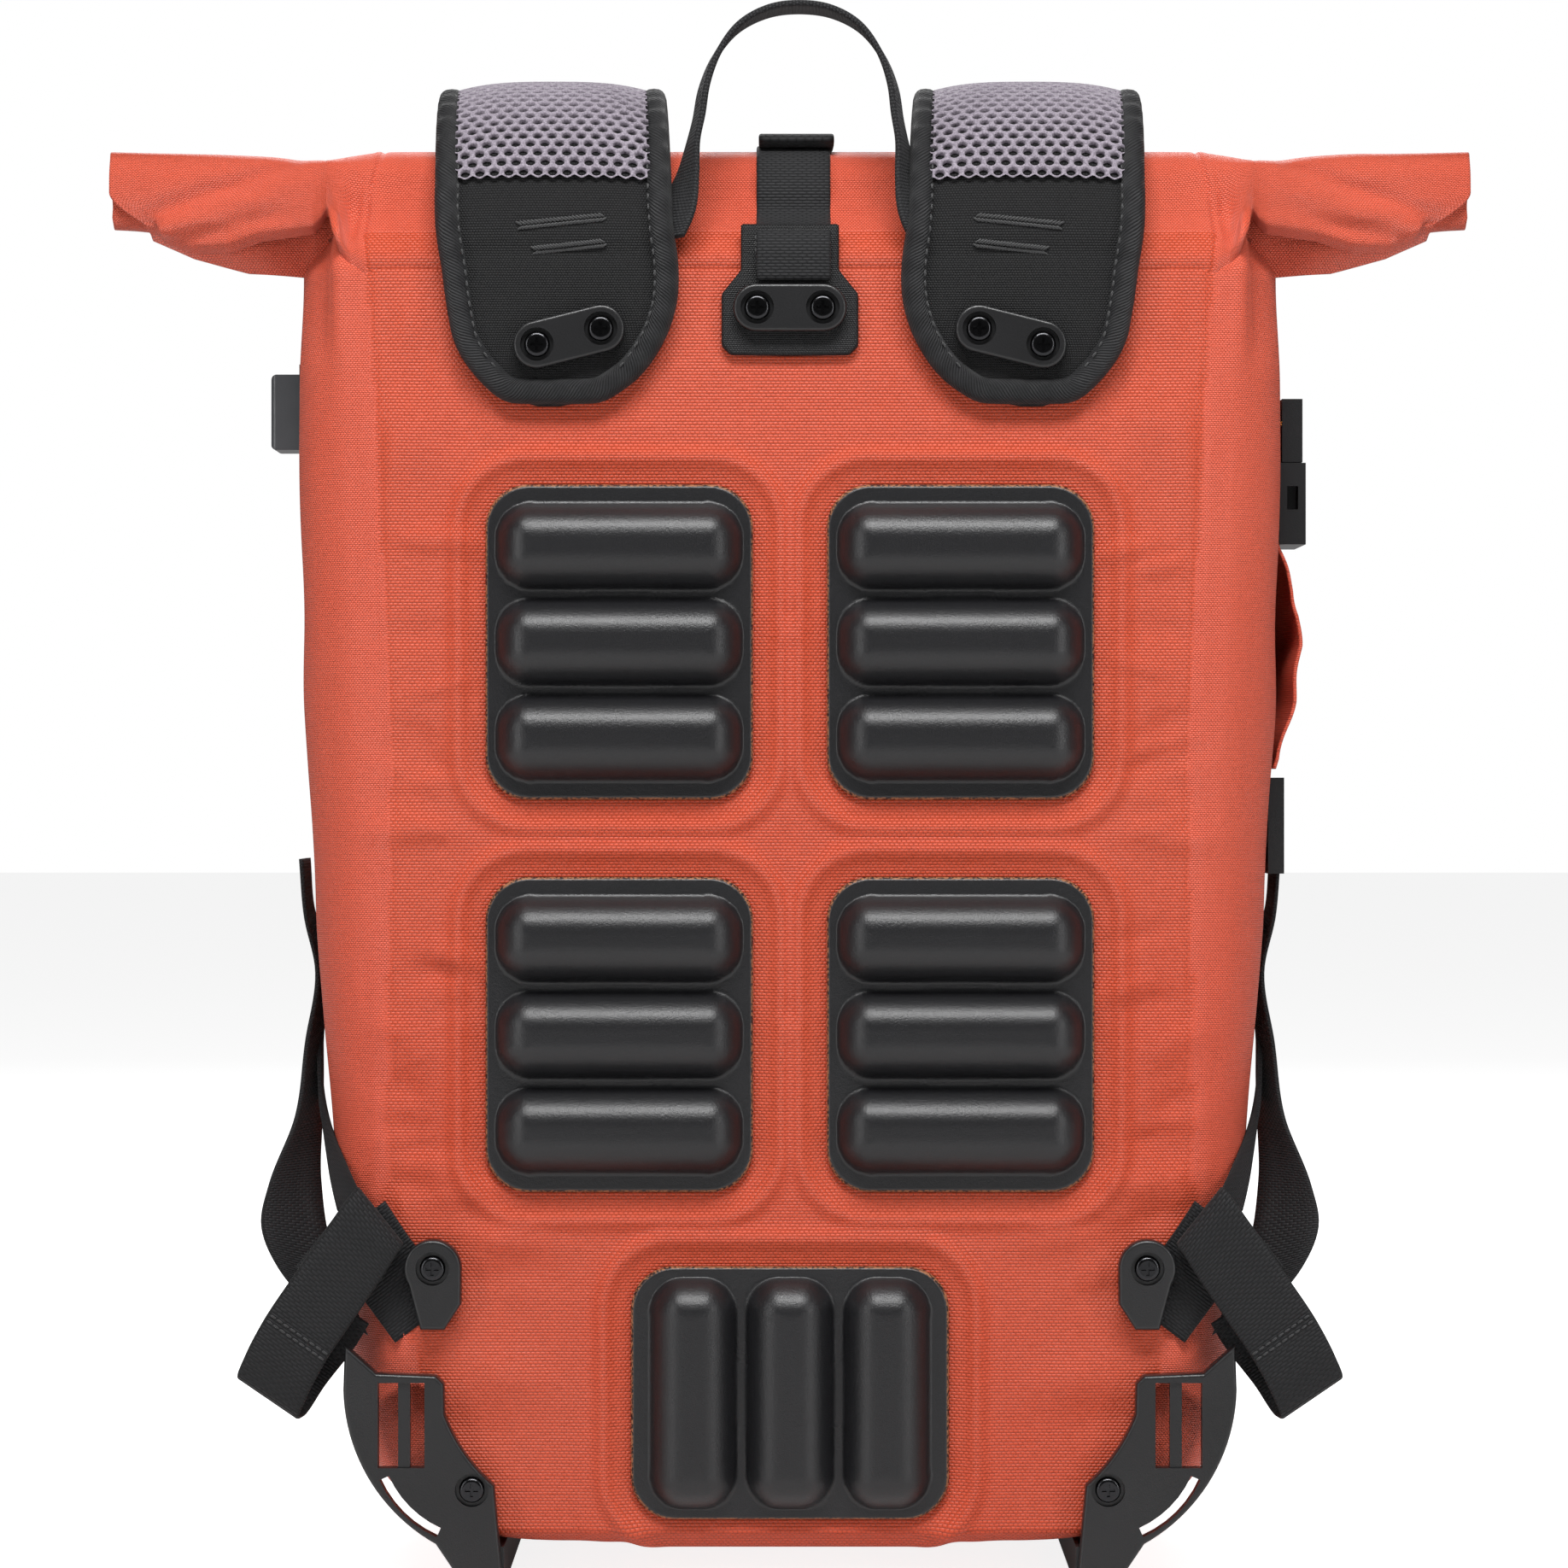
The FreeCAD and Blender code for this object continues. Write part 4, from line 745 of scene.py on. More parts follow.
LOW_RINGS, TOP_RINGS = 8, 3
low_rings = shrunk_rings(body_points[0], np.linspace(0, 1, LOW_RINGS, endpoint=False), BOTTOM_Z)
top_rings = shrunk_rings(body_points[-1], np.linspace(1, 0, TOP_RINGS + 1)[1:], RIM_Z)
closed_body = np.concatenate([low_rings, body_points, top_rings])
closed_uv = np.concatenate([closed_body[:LOW_RINGS, :, :2], body_uv, closed_body[-TOP_RINGS:, :, :2]])
closed_panel = np.pad(panel_fact, ((LOW_RINGS, TOP_RINGS), (0, 0)))
bag_body = surface("bag_body", closed_body, closed_uv, {"panel": closed_panel.ravel()})
dress(bag_body, "root", bag_cloth, "coated_fabric", "bag_shell")

# %% [markdown]
# ## The rolled mouth
# The mouth of the bag is pressed flat round a stiff strip and rolled down, so from the end it is a
# spiral of cloth, and past the bag's sides it sticks out as two tapering wings. A box would hide all
# that. Here one cross-section, a flattened spiral with the thickness of the cloth, is carried
# along the roll, and its size changes on the way.

# %% Cross-section of the roll along its length
def both_ways(half_run):
    """A run from 0 outwards, repeated on the other side of 0."""
    return np.concatenate([-half_run[:0:-1], half_run])


roll_x = both_ways(np.concatenate([np.linspace(0, 0.142, 50), np.linspace(0.142, ROLL_HALF, 64)[1:]]))
reach = np.abs(roll_x)
knots = np.array([0, 0.138, 0.150, 0.158, 0.165, 0.172, 0.180, 0.196, 0.209, 0.224, ROLL_HALF])
# Millimetres at each knot: sag of the top, lift of the underside, half depth, pitch of the layers.
top_sag = [1.2, 1.7, 4.2, 5.4, 4.2, 2.8, 2.2, 1.6, 1.2, 1.2, 1.8]
low_lift = [0.5, 0.5, 3.0, 7.5, 5.5, 3.0, 1.5, 0.5, 1.5, 3.2, 3.6]
half_depths = [17.2, 17.2, 16.5, 15.8, 15.0, 13.6, 12.2, 9.2, 7.4, 5.8, 5.4]
pitches = [2.4, 2.4, 2.4, 2.4, 2.2, 2.1, 2.0, 1.8, 1.7, 1.55, 1.5]
sag, lift, half_y, layer = (smoothed(np.interp(reach, knots, row) / 1000, 3)
                            for row in (top_sag, low_lift, half_depths, pitches))
top_z, low_z = ROLL_TOP_Z - sag, RIM_Z + lift


def spiral_section(half_depth, half_height, pitch, turns, count, thickness):
    """A flattened spiral with thickness, seen from the end.

    The angle runs through the turns; the half depth and half height shrink by the layer pitch each
    turn; corners are squared by raising cosine and sine to a power under one. The way back along
    the inner side is the same curve made smaller by the thickness.
    """
    turn = np.linspace(0, turns, count)
    c, s = np.cos(2 * math.pi * turn), np.sin(2 * math.pi * turn)
    power = 0.72
    squared = np.stack([np.sign(c) * np.abs(c) ** power, np.sign(s) * np.abs(s) ** power], -1)
    size = np.stack([half_depth, half_height], -1)[:, None, :] - (pitch[:, None] * turn)[..., None]
    outer, inner = squared * size, squared * (size - thickness)
    return np.concatenate([outer, inner[:, ::-1], outer[:, :1]], 1)


CLOTH = 0.0011
ROLL_TURNS, SPIRAL_POINTS = 2.45, 150
section = spiral_section(half_y, (top_z - low_z) / 2, layer, ROLL_TURNS, SPIRAL_POINTS, CLOTH)
roll_points = np.zeros((len(roll_x), section.shape[1], 3))
roll_points[..., 0] = roll_x[:, None]
roll_points[..., 1] = ROLL_MIDDLE_Y - section[..., 0]
roll_points[..., 2] = ((top_z + low_z) / 2)[:, None] - section[..., 1]
end_share = np.sign(roll_x) * ramp(reach, ROLL_HALF - 0.012, ROLL_HALF)
roll_points[..., 0] -= end_share[:, None] * 0.0003 * np.abs(np.sin(roll_points[..., 2] * 420.0))
print("layers of cloth in the roll:", ROLL_TURNS)


# %% Closing both ends and making the piece
def pinch_section(row):
    """The cut edge of the cloth: outer and inner points meet half way."""
    count = (row.shape[1] - 1) // 2
    outer, inner = row[:, :count], row[:, count:2 * count][:, ::-1]
    half = (outer + inner) / 2
    return np.concatenate([half, half[:, ::-1], half[:, :1]], 1)


spiral_run = lengths(section[len(section) // 2][:SPIRAL_POINTS])
roll_run = np.concatenate([spiral_run, 1.0 - spiral_run[::-1], [0.0]])
roll_uv = np.stack(np.broadcast_arrays(roll_x[:, None], roll_run[None, :]), -1)
roll_closed = np.concatenate([pinch_section(roll_points[:1]), roll_points, pinch_section(roll_points[-1:])])
roll_uv = np.concatenate([roll_uv[:1], roll_uv, roll_uv[-1:]])
rolled_mouth = surface("rolled_mouth", roll_closed, roll_uv)
dress(rolled_mouth, "root", roll_cloth, "coated_fabric", "roll_top")

# %% [markdown]
# ### The outer layer of the roll
# The last turn of the roll is the cloth of the panel itself, so from the front it rises out of the
# panel with no step, leans back over the roll and, past the side seams, turns into the front of each
# wing. Between bag and wing its lower edge lifts into an arch over the tucked-in gusset. Nine curves
# are set along the roll, and every cross-section is a smooth curve through its nine points.

# %% Outer layer
ARCH = SHELL_HALF - 0.0090


def spline_weights(knots, count):
    """How much each of a few evenly spaced knots weighs at each place of a smooth curve.

    Between two knots the curve is a cubic whose slope at a knot is half the step from the knot before
    it to the knot after it.
    """
    t = np.linspace(0, knots - 1, count)
    i = np.clip(t.astype(int), 0, knots - 2)
    f = (t - i)[:, None]
    eye = np.eye(knots)
    before, here = eye[np.maximum(i - 1, 0)], eye[i]
    after, beyond = eye[i + 1], eye[np.minimum(i + 2, knots - 1)]
    return 0.5 * (2 * here + (after - before) * f + (2 * before - 5 * here + 4 * after - beyond) * f ** 2
                  + (3 * here - before - 3 * after + beyond) * f ** 3)


sheet_half = [np.linspace(0, 0.136, 60), np.linspace(0.136, 0.170, 70)[1:],
              np.linspace(0.170, ROLL_HALF + 0.0006, 70)[1:]]
sheet_x = both_ways(np.concatenate(sheet_half))
far = np.abs(sheet_x)
SHEET_TOP = ROLL_TOP_Z + 0.0006
wing_top = SHEET_TOP - np.interp(far, [0, 0.138, 0.150, 0.158, 0.172, 0.196, ROLL_HALF],
                                 [0.0, 0.0005, 0.0022, 0.0034, 0.0022, 0.0010, 0.0])
half_deep = np.interp(far, [0, 0.142, 0.158, 0.165, 0.172, 0.180, 0.196, 0.209, ROLL_HALF],
                      np.array([19.2, 19.2, 18.4, 17.6, 16.2, 14.8, 11.8, 9.8, 7.6]) / 1000)
front_face = ROLL_MIDDLE_Y - half_deep
past_corner = np.clip(far - (SHELL_HALF - UPRIGHT), 0, UPRIGHT * 0.98)
round_corner = UPRIGHT - np.sqrt(UPRIGHT ** 2 - past_corner ** 2)
hem_at = [0, 0.143, 0.1485, 0.1520, 0.1545, ARCH, 0.1590, 0.1620,
          0.1700, 0.1795, 0.1920, 0.2050, 0.2170, ROLL_HALF]
hem_rise = np.array([-16, -16, -13, -6.5, 0.5, 7.2, 3.8, 0.9, -0.2, -1.3, -5.2, -4.6, 0.2, 2.2]) / 1000
hem_z = np.interp(far, hem_at, RIM_Z + hem_rise)
# Each curve in millimetres: y and height over the bag, how far out the turn into the wing starts,
# then the wing's bulge and its share of the way up; the last three lie on the roll's rear side.
FRONT_CURVES = [(1.6, -16, 4.5, 4.5, 0.0), (-0.4, -9, 5.5, 0.6, 0.10), (2.8, -1.2, 11, 0.0, 0.30),
                (8.0, 6.4, 20, -0.3, 0.52), (11.0, 14, 28, 0.2, 0.72), (13.4, 21.5, 33, 2.2, 0.90)]
REAR_CURVES = [(19.0, 27.6, 33, -0.55, 0.0008), (30.0, 30.2, 33, 0.0, 0.0), (40.0, 28, 33, 0.55, 0.0012)]
MODEL_RISE = 0.0302


def curve_over_bag(k, y, rise):
    """The k-th curve over the bag itself: it follows the rounded upright corners near the panel."""
    bag_y = BACK_Y + y / 1000 + round_corner * max(0.0, 1 - k / 3) * 0.9
    return bag_y, RIM_Z + rise / 1000 * (SHEET_TOP - RIM_Z) / MODEL_RISE


def joined(over_bag, wing, turn_reach):
    """Blend a curve over the bag into its wing along an S curve that ends at the arch."""
    share = ramp(far, ARCH - turn_reach / 1000, ARCH + 0.0005)
    return over_bag * (1 - share) + wing * share


rows_y, rows_z = [], []
for k, (y, rise, turn_reach, bulge, climb) in enumerate(FRONT_CURVES):
    bag_y, bag_z = curve_over_bag(k, y, rise)
    bag_z = np.maximum(bag_z, hem_z + (ROLL_TOP_Z - 0.002 - hem_z) * k / 6 * 0.9)
    rows_y.append(joined(bag_y, front_face + bulge / 1000, turn_reach))
    rows_z.append(joined(bag_z, hem_z + (wing_top - hem_z) * climb, turn_reach))
for k, (y, rise, turn_reach, depth_share, drop) in enumerate(REAR_CURVES, len(FRONT_CURVES)):
    bag_y, bag_z = curve_over_bag(k, y, rise)
    rows_y.append(joined(bag_y, ROLL_MIDDLE_Y + half_deep * depth_share, turn_reach))
    rows_z.append(joined(bag_z, wing_top - drop, turn_reach))
rows_z[0] = hem_z
weights = spline_weights(len(rows_y), 90)
mouth_y = weights @ np.array([smoothed(r, 2) for r in rows_y])
mouth_z = weights @ np.array(rows_z)
mouth = np.stack([np.broadcast_to(sheet_x, mouth_y.shape), mouth_y, mouth_z], -1)
print("outer layer grid", mouth.shape)

# %% Soft folds, the seams going up, and the slanting end
mx, mz = mouth[..., 0], mouth[..., 2]
am = np.abs(mx)
over_rim = mz - RIM_Z
mouth_out = outward(mouth)
mouth_out *= np.where(mouth_out[60, len(sheet_x) // 2, 1] < 0, 1, -1)
wing_run = am - 0.165
fold = 0.0016 * hill(over_rim + 0.30 * wing_run, 0.0175, 0.0050) * ramp(am, 0.160, 0.180)
fold -= 0.0018 * hill(over_rim + 0.34 * wing_run, 0.0265, 0.0035) * ramp(am, 0.158, 0.176)
fold -= 0.0012 * hill(over_rim + 0.22 * wing_run, 0.0085, 0.0030) * ramp(am, 0.164, 0.185)
fold += 0.0016 * hill(am, ARCH - 0.0035, 0.0026) * fall(over_rim, 0.004, 0.020)
fold -= 0.0022 * hill(am, 0.1475, 0.0042) * hill(over_rim, 0.006, 0.013)
fold += gathers(mx, mz, 9, ((0.165, 0.222), (RIM_Z, RIM_Z + 0.026)), ((0.012, 0.03), (0.002, 0.004)), 0.0007)
fold += gathers(mx, mz, 7, ((0.02, 0.13), (RIM_Z, RIM_Z + 0.02)), ((0.02, 0.05), (0.003, 0.008)), 0.0005)
seam_up = np.interp(over_rim, [-0.020, 0, 0.012, 0.030], [0.1415, 0.1440, 0.1428, 0.1385])
fold += -0.0006 * hill(am, seam_up, 0.0008) + 0.0003 * hill(am, seam_up + 0.0020, 0.0012)
hem_fade = ramp(mz, hem_z[None, :], hem_z[None, :] + 0.004)
mouth = mouth + mouth_out * (fold * hem_fade)[..., None]
slant = fall(over_rim, 0.0005, 0.016) * ramp(am, ROLL_HALF - 0.020, ROLL_HALF) * (mouth_y < ROLL_MIDDLE_Y)
mouth[..., 0] -= np.sign(mx) * slant * 0.0140
loop = thick_sheet(mouth, mouth - mouth_out * 0.0010)
rise = lengths(mouth[:, len(sheet_x) // 2])
loop_v = np.concatenate([rise, rise[::-1], rise[:1]]) + along_v[-1] - 0.016
loop_x = np.pad(sheet_x, 1, mode="edge")
loop_uv = np.stack(np.broadcast_arrays(loop_x[None, :], loop_v[:, None]), -1)
coarse = ((mouth_z < RIM_Z + 0.0005) & (am < seam_up) & (mouth_y < BACK_Y + 0.012)).astype(float)
coarse = np.pad(np.concatenate([coarse, coarse[::-1], coarse[:1]]), ((0, 0), (1, 1)), mode="edge")
outer_layer = surface("roll_outer_layer", loop, loop_uv, {"panel": coarse.ravel()})
dress(outer_layer, "root", bag_cloth, "coated_fabric")

# %% [markdown]
# ### The gussets
# Behind the arch the side of the bag folds in and runs out under the wing to its tip. Folding one
# cloth into the other would be truer, but a separate curved strip hides its edges inside both.

# %% The gusset under each wing
GUSSET_END = 0.2195
under_x = np.linspace(SHELL_HALF - 0.0125, GUSSET_END, 60)
down = np.linspace(0, 1, 26)[:, None]
top_edge = np.interp(under_x, far[len(sheet_x) // 2:], hem_z[len(sheet_x) // 2:]) + 0.0045
low_edge = RIM_Z + np.interp(under_x, [0.150, 0.166, 0.186, 0.205, GUSSET_END],
                             [-0.0140, -0.0123, -0.0108, -0.0056, 0.0010])
under_front = BACK_Y + np.interp(under_x, [0.150, 0.166, 0.1795, 0.205, GUSSET_END],
                                 [0.0250, 0.0240, 0.0235, 0.0260, 0.0285])
under_z = top_edge + (low_edge - top_edge) * down
under_y = under_front + 0.0075 * down ** 1.3 - 0.0015 * np.sin(down * math.pi)
under_y = under_y + 0.0008 * np.sin(under_x * 190.0 + down * 3.0)
for name, side in (("left", -1), ("right", 1)):
    face = np.stack([np.broadcast_to(side * under_x, under_z.shape), under_y, under_z], -1)
    ring = thick_sheet(face, face + np.array([0, CLOTH, 0]))
    gusset = surface("wing_gusset_" + name, ring, ring[..., [0, 2]])
    dress(gusset, "root", roll_cloth, "coated_fabric")

# %% [markdown]
# ## The pads
# Each pad is a sheet of foam pressed in a hot mould: three pillow ridges rise from a thin flange that
# is welded to the panel. Cloth simulation makes soft cushions, but pressed foam has a crisp moulded
# form, so its height is worked out directly, from the distance to each ridge's own outline.

# %% One pressed pad
PAD_CORNER, RIDGE_CORNER = 0.0145, 0.0115
PAD_SUNK = 0.0008


def pressed_pad(node, upright):
    """Rings of a rounded rectangle from the middle out to the edge, round it and back behind.

    Height over the flange is the tallest of three ridges. A ridge depends on s, the distance inside
    its own rounded outline as a share of half its width: rise x (1 - (1 - s)^2.5)^0.88. The flange
    thins to nothing at the cut edge.
    """
    low, high = corners(node)
    half_x, half_z = (high[0] - low[0]) / 2, (high[2] - low[2]) / 2
    middle_x, middle_z = (high[0] + low[0]) / 2, (high[2] + low[2]) / 2
    straight_x, straight_z = half_x - PAD_CORNER, half_z - PAD_CORNER
    arc = PAD_CORNER * math.pi / 2
    at = np.linspace(0, 1, 72, endpoint=False) * (straight_x + straight_z + arc)
    turn = np.clip((at - straight_z) / PAD_CORNER, 0, math.pi / 2)
    ex = np.where(turn < math.pi / 2, straight_x + PAD_CORNER * np.cos(turn),
                  straight_x - (at - straight_z - arc))
    ez = np.where(at < straight_z, at, straight_z + PAD_CORNER * np.sin(turn))
    outline_x = np.concatenate([ex, -ex[::-1], -ex, ex[::-1], ex[:1]])
    outline_z = np.concatenate([ez, ez[::-1], -ez, -ez[::-1], ez[:1]])
    rings = np.concatenate([np.linspace(0, 0.90, 52), np.linspace(0.90, 1.0, 12)[1:]])
    gx, gz = rings[:, None] * outline_x, rings[:, None] * outline_z
    across, along = (gx, gz) if upright else (gz, gx)
    half_across, half_along = (half_x, half_z) if upright else (half_z, half_x)
    pitch = (2 * half_across - 0.009) / 3
    ridge_half, ridge_run = pitch / 2 - 0.0018, half_along - 0.0035
    rise = high[1] - low[1] - 0.0022
    height = np.zeros_like(gx)
    for i in (-1, 0, 1):
        a = np.abs(across - i * pitch) - (ridge_half - RIDGE_CORNER)
        b = np.abs(along) - (ridge_run - RIDGE_CORNER)
        past = np.hypot(np.maximum(a, 0), np.maximum(b, 0)) + np.minimum(np.maximum(a, b), 0)
        share = np.clip((RIDGE_CORNER - past) / (ridge_half * 0.93), 0, 1)
        height = np.maximum(height, rise * (1 - (1 - share) ** 2.5) ** 0.88)
    flange = 0.0013 * ramp(-rings, -1.0, -0.985)[:, None] + 0.0004
    front = np.stack([middle_x + gx, high[1] - flange - height, middle_z + gz], -1)
    back = front[-1:].copy()
    back[..., 1] = high[1] + PAD_SUNK
    centre = np.broadcast_to(np.array([middle_x, high[1] + PAD_SUNK, middle_z]), back.shape)
    edge = np.concatenate([rings > 0.986, [1, 0]]).astype(float)
    return np.concatenate([front, back, centre]), np.repeat(edge, gx.shape[1])


for node in PAD_NODES:
    pad_points, pad_edge = pressed_pad(node, node == "lumbar_pad")
    pad = surface("foam_" + node, pad_points, pad_points[..., [0, 2]], {"edge": pad_edge})
    dress(pad, "root", foam, "moulded_foam", node)

# %% [markdown]
# ## The shoulder straps
# A strap is a padded tongue: a soft core, an open spacer mesh over its upper length, plain black cloth
# where the anchor plate holds it, and a folded tape sewn round its edge. Each is a separate piece that
# follows the same path, up the panel, over the roll and down towards the rack side. The holes of the
# mesh could be painted on, but they are real openings here, because light falls through them.

# %% The path of a strap
strap_low, strap_high = corners("shoulder_strap_right")
STRAP_ARC = 0.057
STRAP_FACE = BACK_Y - 0.0003
ARC_Y, ARC_Z = STRAP_FACE + STRAP_ARC, RIM_Z - 0.011
STRAP_REAR = strap_high[1] - 0.009
STRAP_FOOT = strap_low[2]


def strap_knots():
    """Rows of x, y, z, left edge, right edge and thickness for the right strap, anchor end first.

    The line climbs the panel, follows an arc over the roll, runs down the slope behind it in one
    straight line and hangs down the rack side. The two edges are measured from the line.
    """
    low_z, x = RIM_Z - 0.0597, 0.0815
    tongue = [(0.000, -0.002, 0.002, 4.0), (0.0025, -0.014, 0.010, 5.2), (0.0065, -0.0225, 0.0175, 5.6),
              (0.0125, -0.0310, 0.0240, 5.8), (0.0210, -0.0375, 0.0300, 5.8),
              (0.0330, -0.0425, 0.0330, 6.0), (0.0475, -0.0435, 0.0350, 6.6)]
    rows = [(x, STRAP_FACE, low_z + rise, inner, outer, thick / 1000) for rise, inner, outer, thick in tongue]
    for degrees in (170, 150, 128, 106, 84, 62, 42):
        a = math.radians(degrees)
        share = (180 - degrees) / 138
        rows.append((x + 0.004 * share, ARC_Y + STRAP_ARC * math.cos(a), ARC_Z + STRAP_ARC * math.sin(a),
                     -0.0425 + 0.0035 * share, 0.0365 + 0.0010 * share, 0.0085))
    arc_y, arc_z = rows[-1][1:3]
    run = STRAP_REAR - arc_y - 0.004
    drop = 1.62 * run
    for share in (0.35, 0.7):
        rows.append((x + 0.004 + 0.008 * share, arc_y + run * share, arc_z - drop * share,
                     -0.0385, 0.0375, 0.0088))
    hang_x, hang_z = x + 0.013, arc_z - drop - 0.006
    rows.append((hang_x, STRAP_REAR - 0.001, hang_z, -0.037, 0.036, 0.0088))
    for share, half in ((0.3, 0.0325), (0.6, 0.0275), (0.82, 0.0200), (1.0, 0.0160)):
        rows.append((hang_x + 0.0165 * share, STRAP_REAR, hang_z - (hang_z - STRAP_FOOT) * share,
                     -half, half, 0.0085 - 0.003 * share))
    return np.array(rows)


STRAP_STEPS = 260
strap_line = through(strap_knots(), STRAP_STEPS)
strap_path = strap_line[:, :3]
strap_run = lengths(strap_path)
strap_out = unit(np.cross(np.gradient(strap_path, axis=0), np.array([1.0, 0, 0])))
if strap_out[3, 1] > 0:
    strap_out = -strap_out
print("strap length", round(strap_run[-1], 3), "m")


def strap_point(run, side, lift):
    """A point of the strap from distance along it, side from -1 to 1, and lift off its lower face."""
    x, y, z, inner, outer = (np.interp(run, strap_run, strap_line[:, i]) for i in range(5))
    out_x, out_y, out_z = (np.interp(run, strap_run, strap_out[:, i]) for i in range(3))
    across = inner + (outer - inner) * (side + 1) / 2
    return np.stack([x + across + out_x * lift, y + out_y * lift, z + out_z * lift], -1)


def strap_outward(run):
    """Unit direction out of the strap's upper face."""
    return np.stack([np.interp(run, strap_run, strap_out[:, i]) for i in range(3)], -1)


def strap_half(run):
    """Half the strap's width at a distance along it."""
    return np.interp(run, strap_run, (strap_line[:, 4] - strap_line[:, 3]) / 2)


# %% The padded core
MESH_START = 0.0735
TAPE = 0.0086


def core_top(run, side):
    """How far the core's upper face stands off its lower face.

    Thickness of the strap times a dome across it, thin in the stitched tongue, with a pressed crease
    where the padding ends and a dent along the tape.
    """
    thick = np.interp(run, strap_run, strap_line[:, 5])
    padded = ramp(run, MESH_START - 0.012, MESH_START + 0.012)
    padded = padded * fall(run, strap_run[-1] - 0.05, strap_run[-1] - 0.010)
    dome = 1 - np.abs(side) ** 3.0
    crease = -0.0012 * hill(run, MESH_START - 0.022, 0.0022) * dome
    quilt = 0.0010 * hill(run, MESH_START - 0.010, 0.006) * dome
    return thick * 0.62 + padded * dome * 0.0052 + (1 - padded) * dome * 0.0007 + crease + quilt


def strap_core(flip):
    """A closed tongue: rows along the strap, columns across the top and back underneath."""
    run = np.concatenate([np.linspace(0.0004, 0.05, 40, endpoint=False),
                          np.linspace(0.05, strap_run[-1] - 0.0004, 150)])
    side = np.linspace(-1, 1, 41) * 0.985
    top = strap_point(run[:, None], side[None, :], core_top(run[:, None], side[None, :]))
    under = strap_point(run[:, None], side[None, ::-1], np.full((len(run), len(side)), 0.0006))
    points = np.concatenate([top, under, top[:, :1]], 1)
    first, last = (np.broadcast_to(points[i].mean(0), points[:1].shape) for i in (0, -1))
    points = np.concatenate([first, points, last])
    across = np.concatenate([side * 0.04, 0.12 - side * 0.04, [0.16]])
    rows = np.concatenate([run[:1], run, run[-1:]])
    uv = np.stack(np.broadcast_arrays(across[None, :], rows[:, None]), -1)
    return points * np.array([flip, 1, 1]), uv


# %% The folded tape round the edge
def edge_tape(flip):
    """A flattened tube along both edges and round the tongue.

    Its middle line runs half a tape's width inside the edge; its section is an oval, wider than
    thick, that turns with the edge so that it always wraps the strap.
    """
    inset = TAPE / 2 - 0.0006
    tip = 0.0052
    down = np.concatenate([np.linspace(strap_run[-1] - 0.002, 0.055, 220),
                           np.linspace(0.055, 0.0055, 60)[1:]])
    half = strap_half(down)
    runs = np.concatenate([down, [tip], down[::-1]])
    sides = np.concatenate([-1 + inset / half, [0.0], 1 - inset / half[::-1]])
    line = strap_point(runs, sides, 0 * runs)
    order = lengths(line)
    even = np.linspace(0, order[-1], 620)
    line = np.stack([np.interp(even, order, line[:, i]) for i in range(3)], -1)
    runs = np.interp(even, order, runs)
    for _ in range(3):
        line[1:-1] = (line[:-2] + 2 * line[1:-1] + line[2:]) / 4
    out = strap_outward(runs)
    across = unit(np.cross(np.gradient(line, axis=0), out))
    thick = np.interp(runs, strap_run, strap_line[:, 5]) * 0.5 + 0.0006
    angle = np.linspace(0, 2 * math.pi, 21)
    c, s = np.cos(angle), np.sin(angle)
    oval_c = np.sign(c) * np.abs(c) ** 0.75
    oval_s = np.sign(s) * np.abs(s) ** 0.85
    pinch = 1 + 0.05 * np.sin(even * 700.0)
    points = (line[:, None] + across[:, None] * (oval_c * TAPE / 2)[None, :, None]
              + out[:, None] * ((thick * pinch)[:, None] * (oval_s[None, :] + 0.95))[..., None])
    first, last = (np.broadcast_to(line[i] + out[i] * thick[i], points[:1].shape) for i in (0, -1))
    closed = np.concatenate([first, points, last])
    rows = np.concatenate([even[:1], even, even[-1:]])
    uv = np.stack(np.broadcast_arrays(rows[:, None], (angle / (2 * math.pi) * 0.024)[None, :]), -1)
    return closed * np.array([flip, 1, 1]), uv


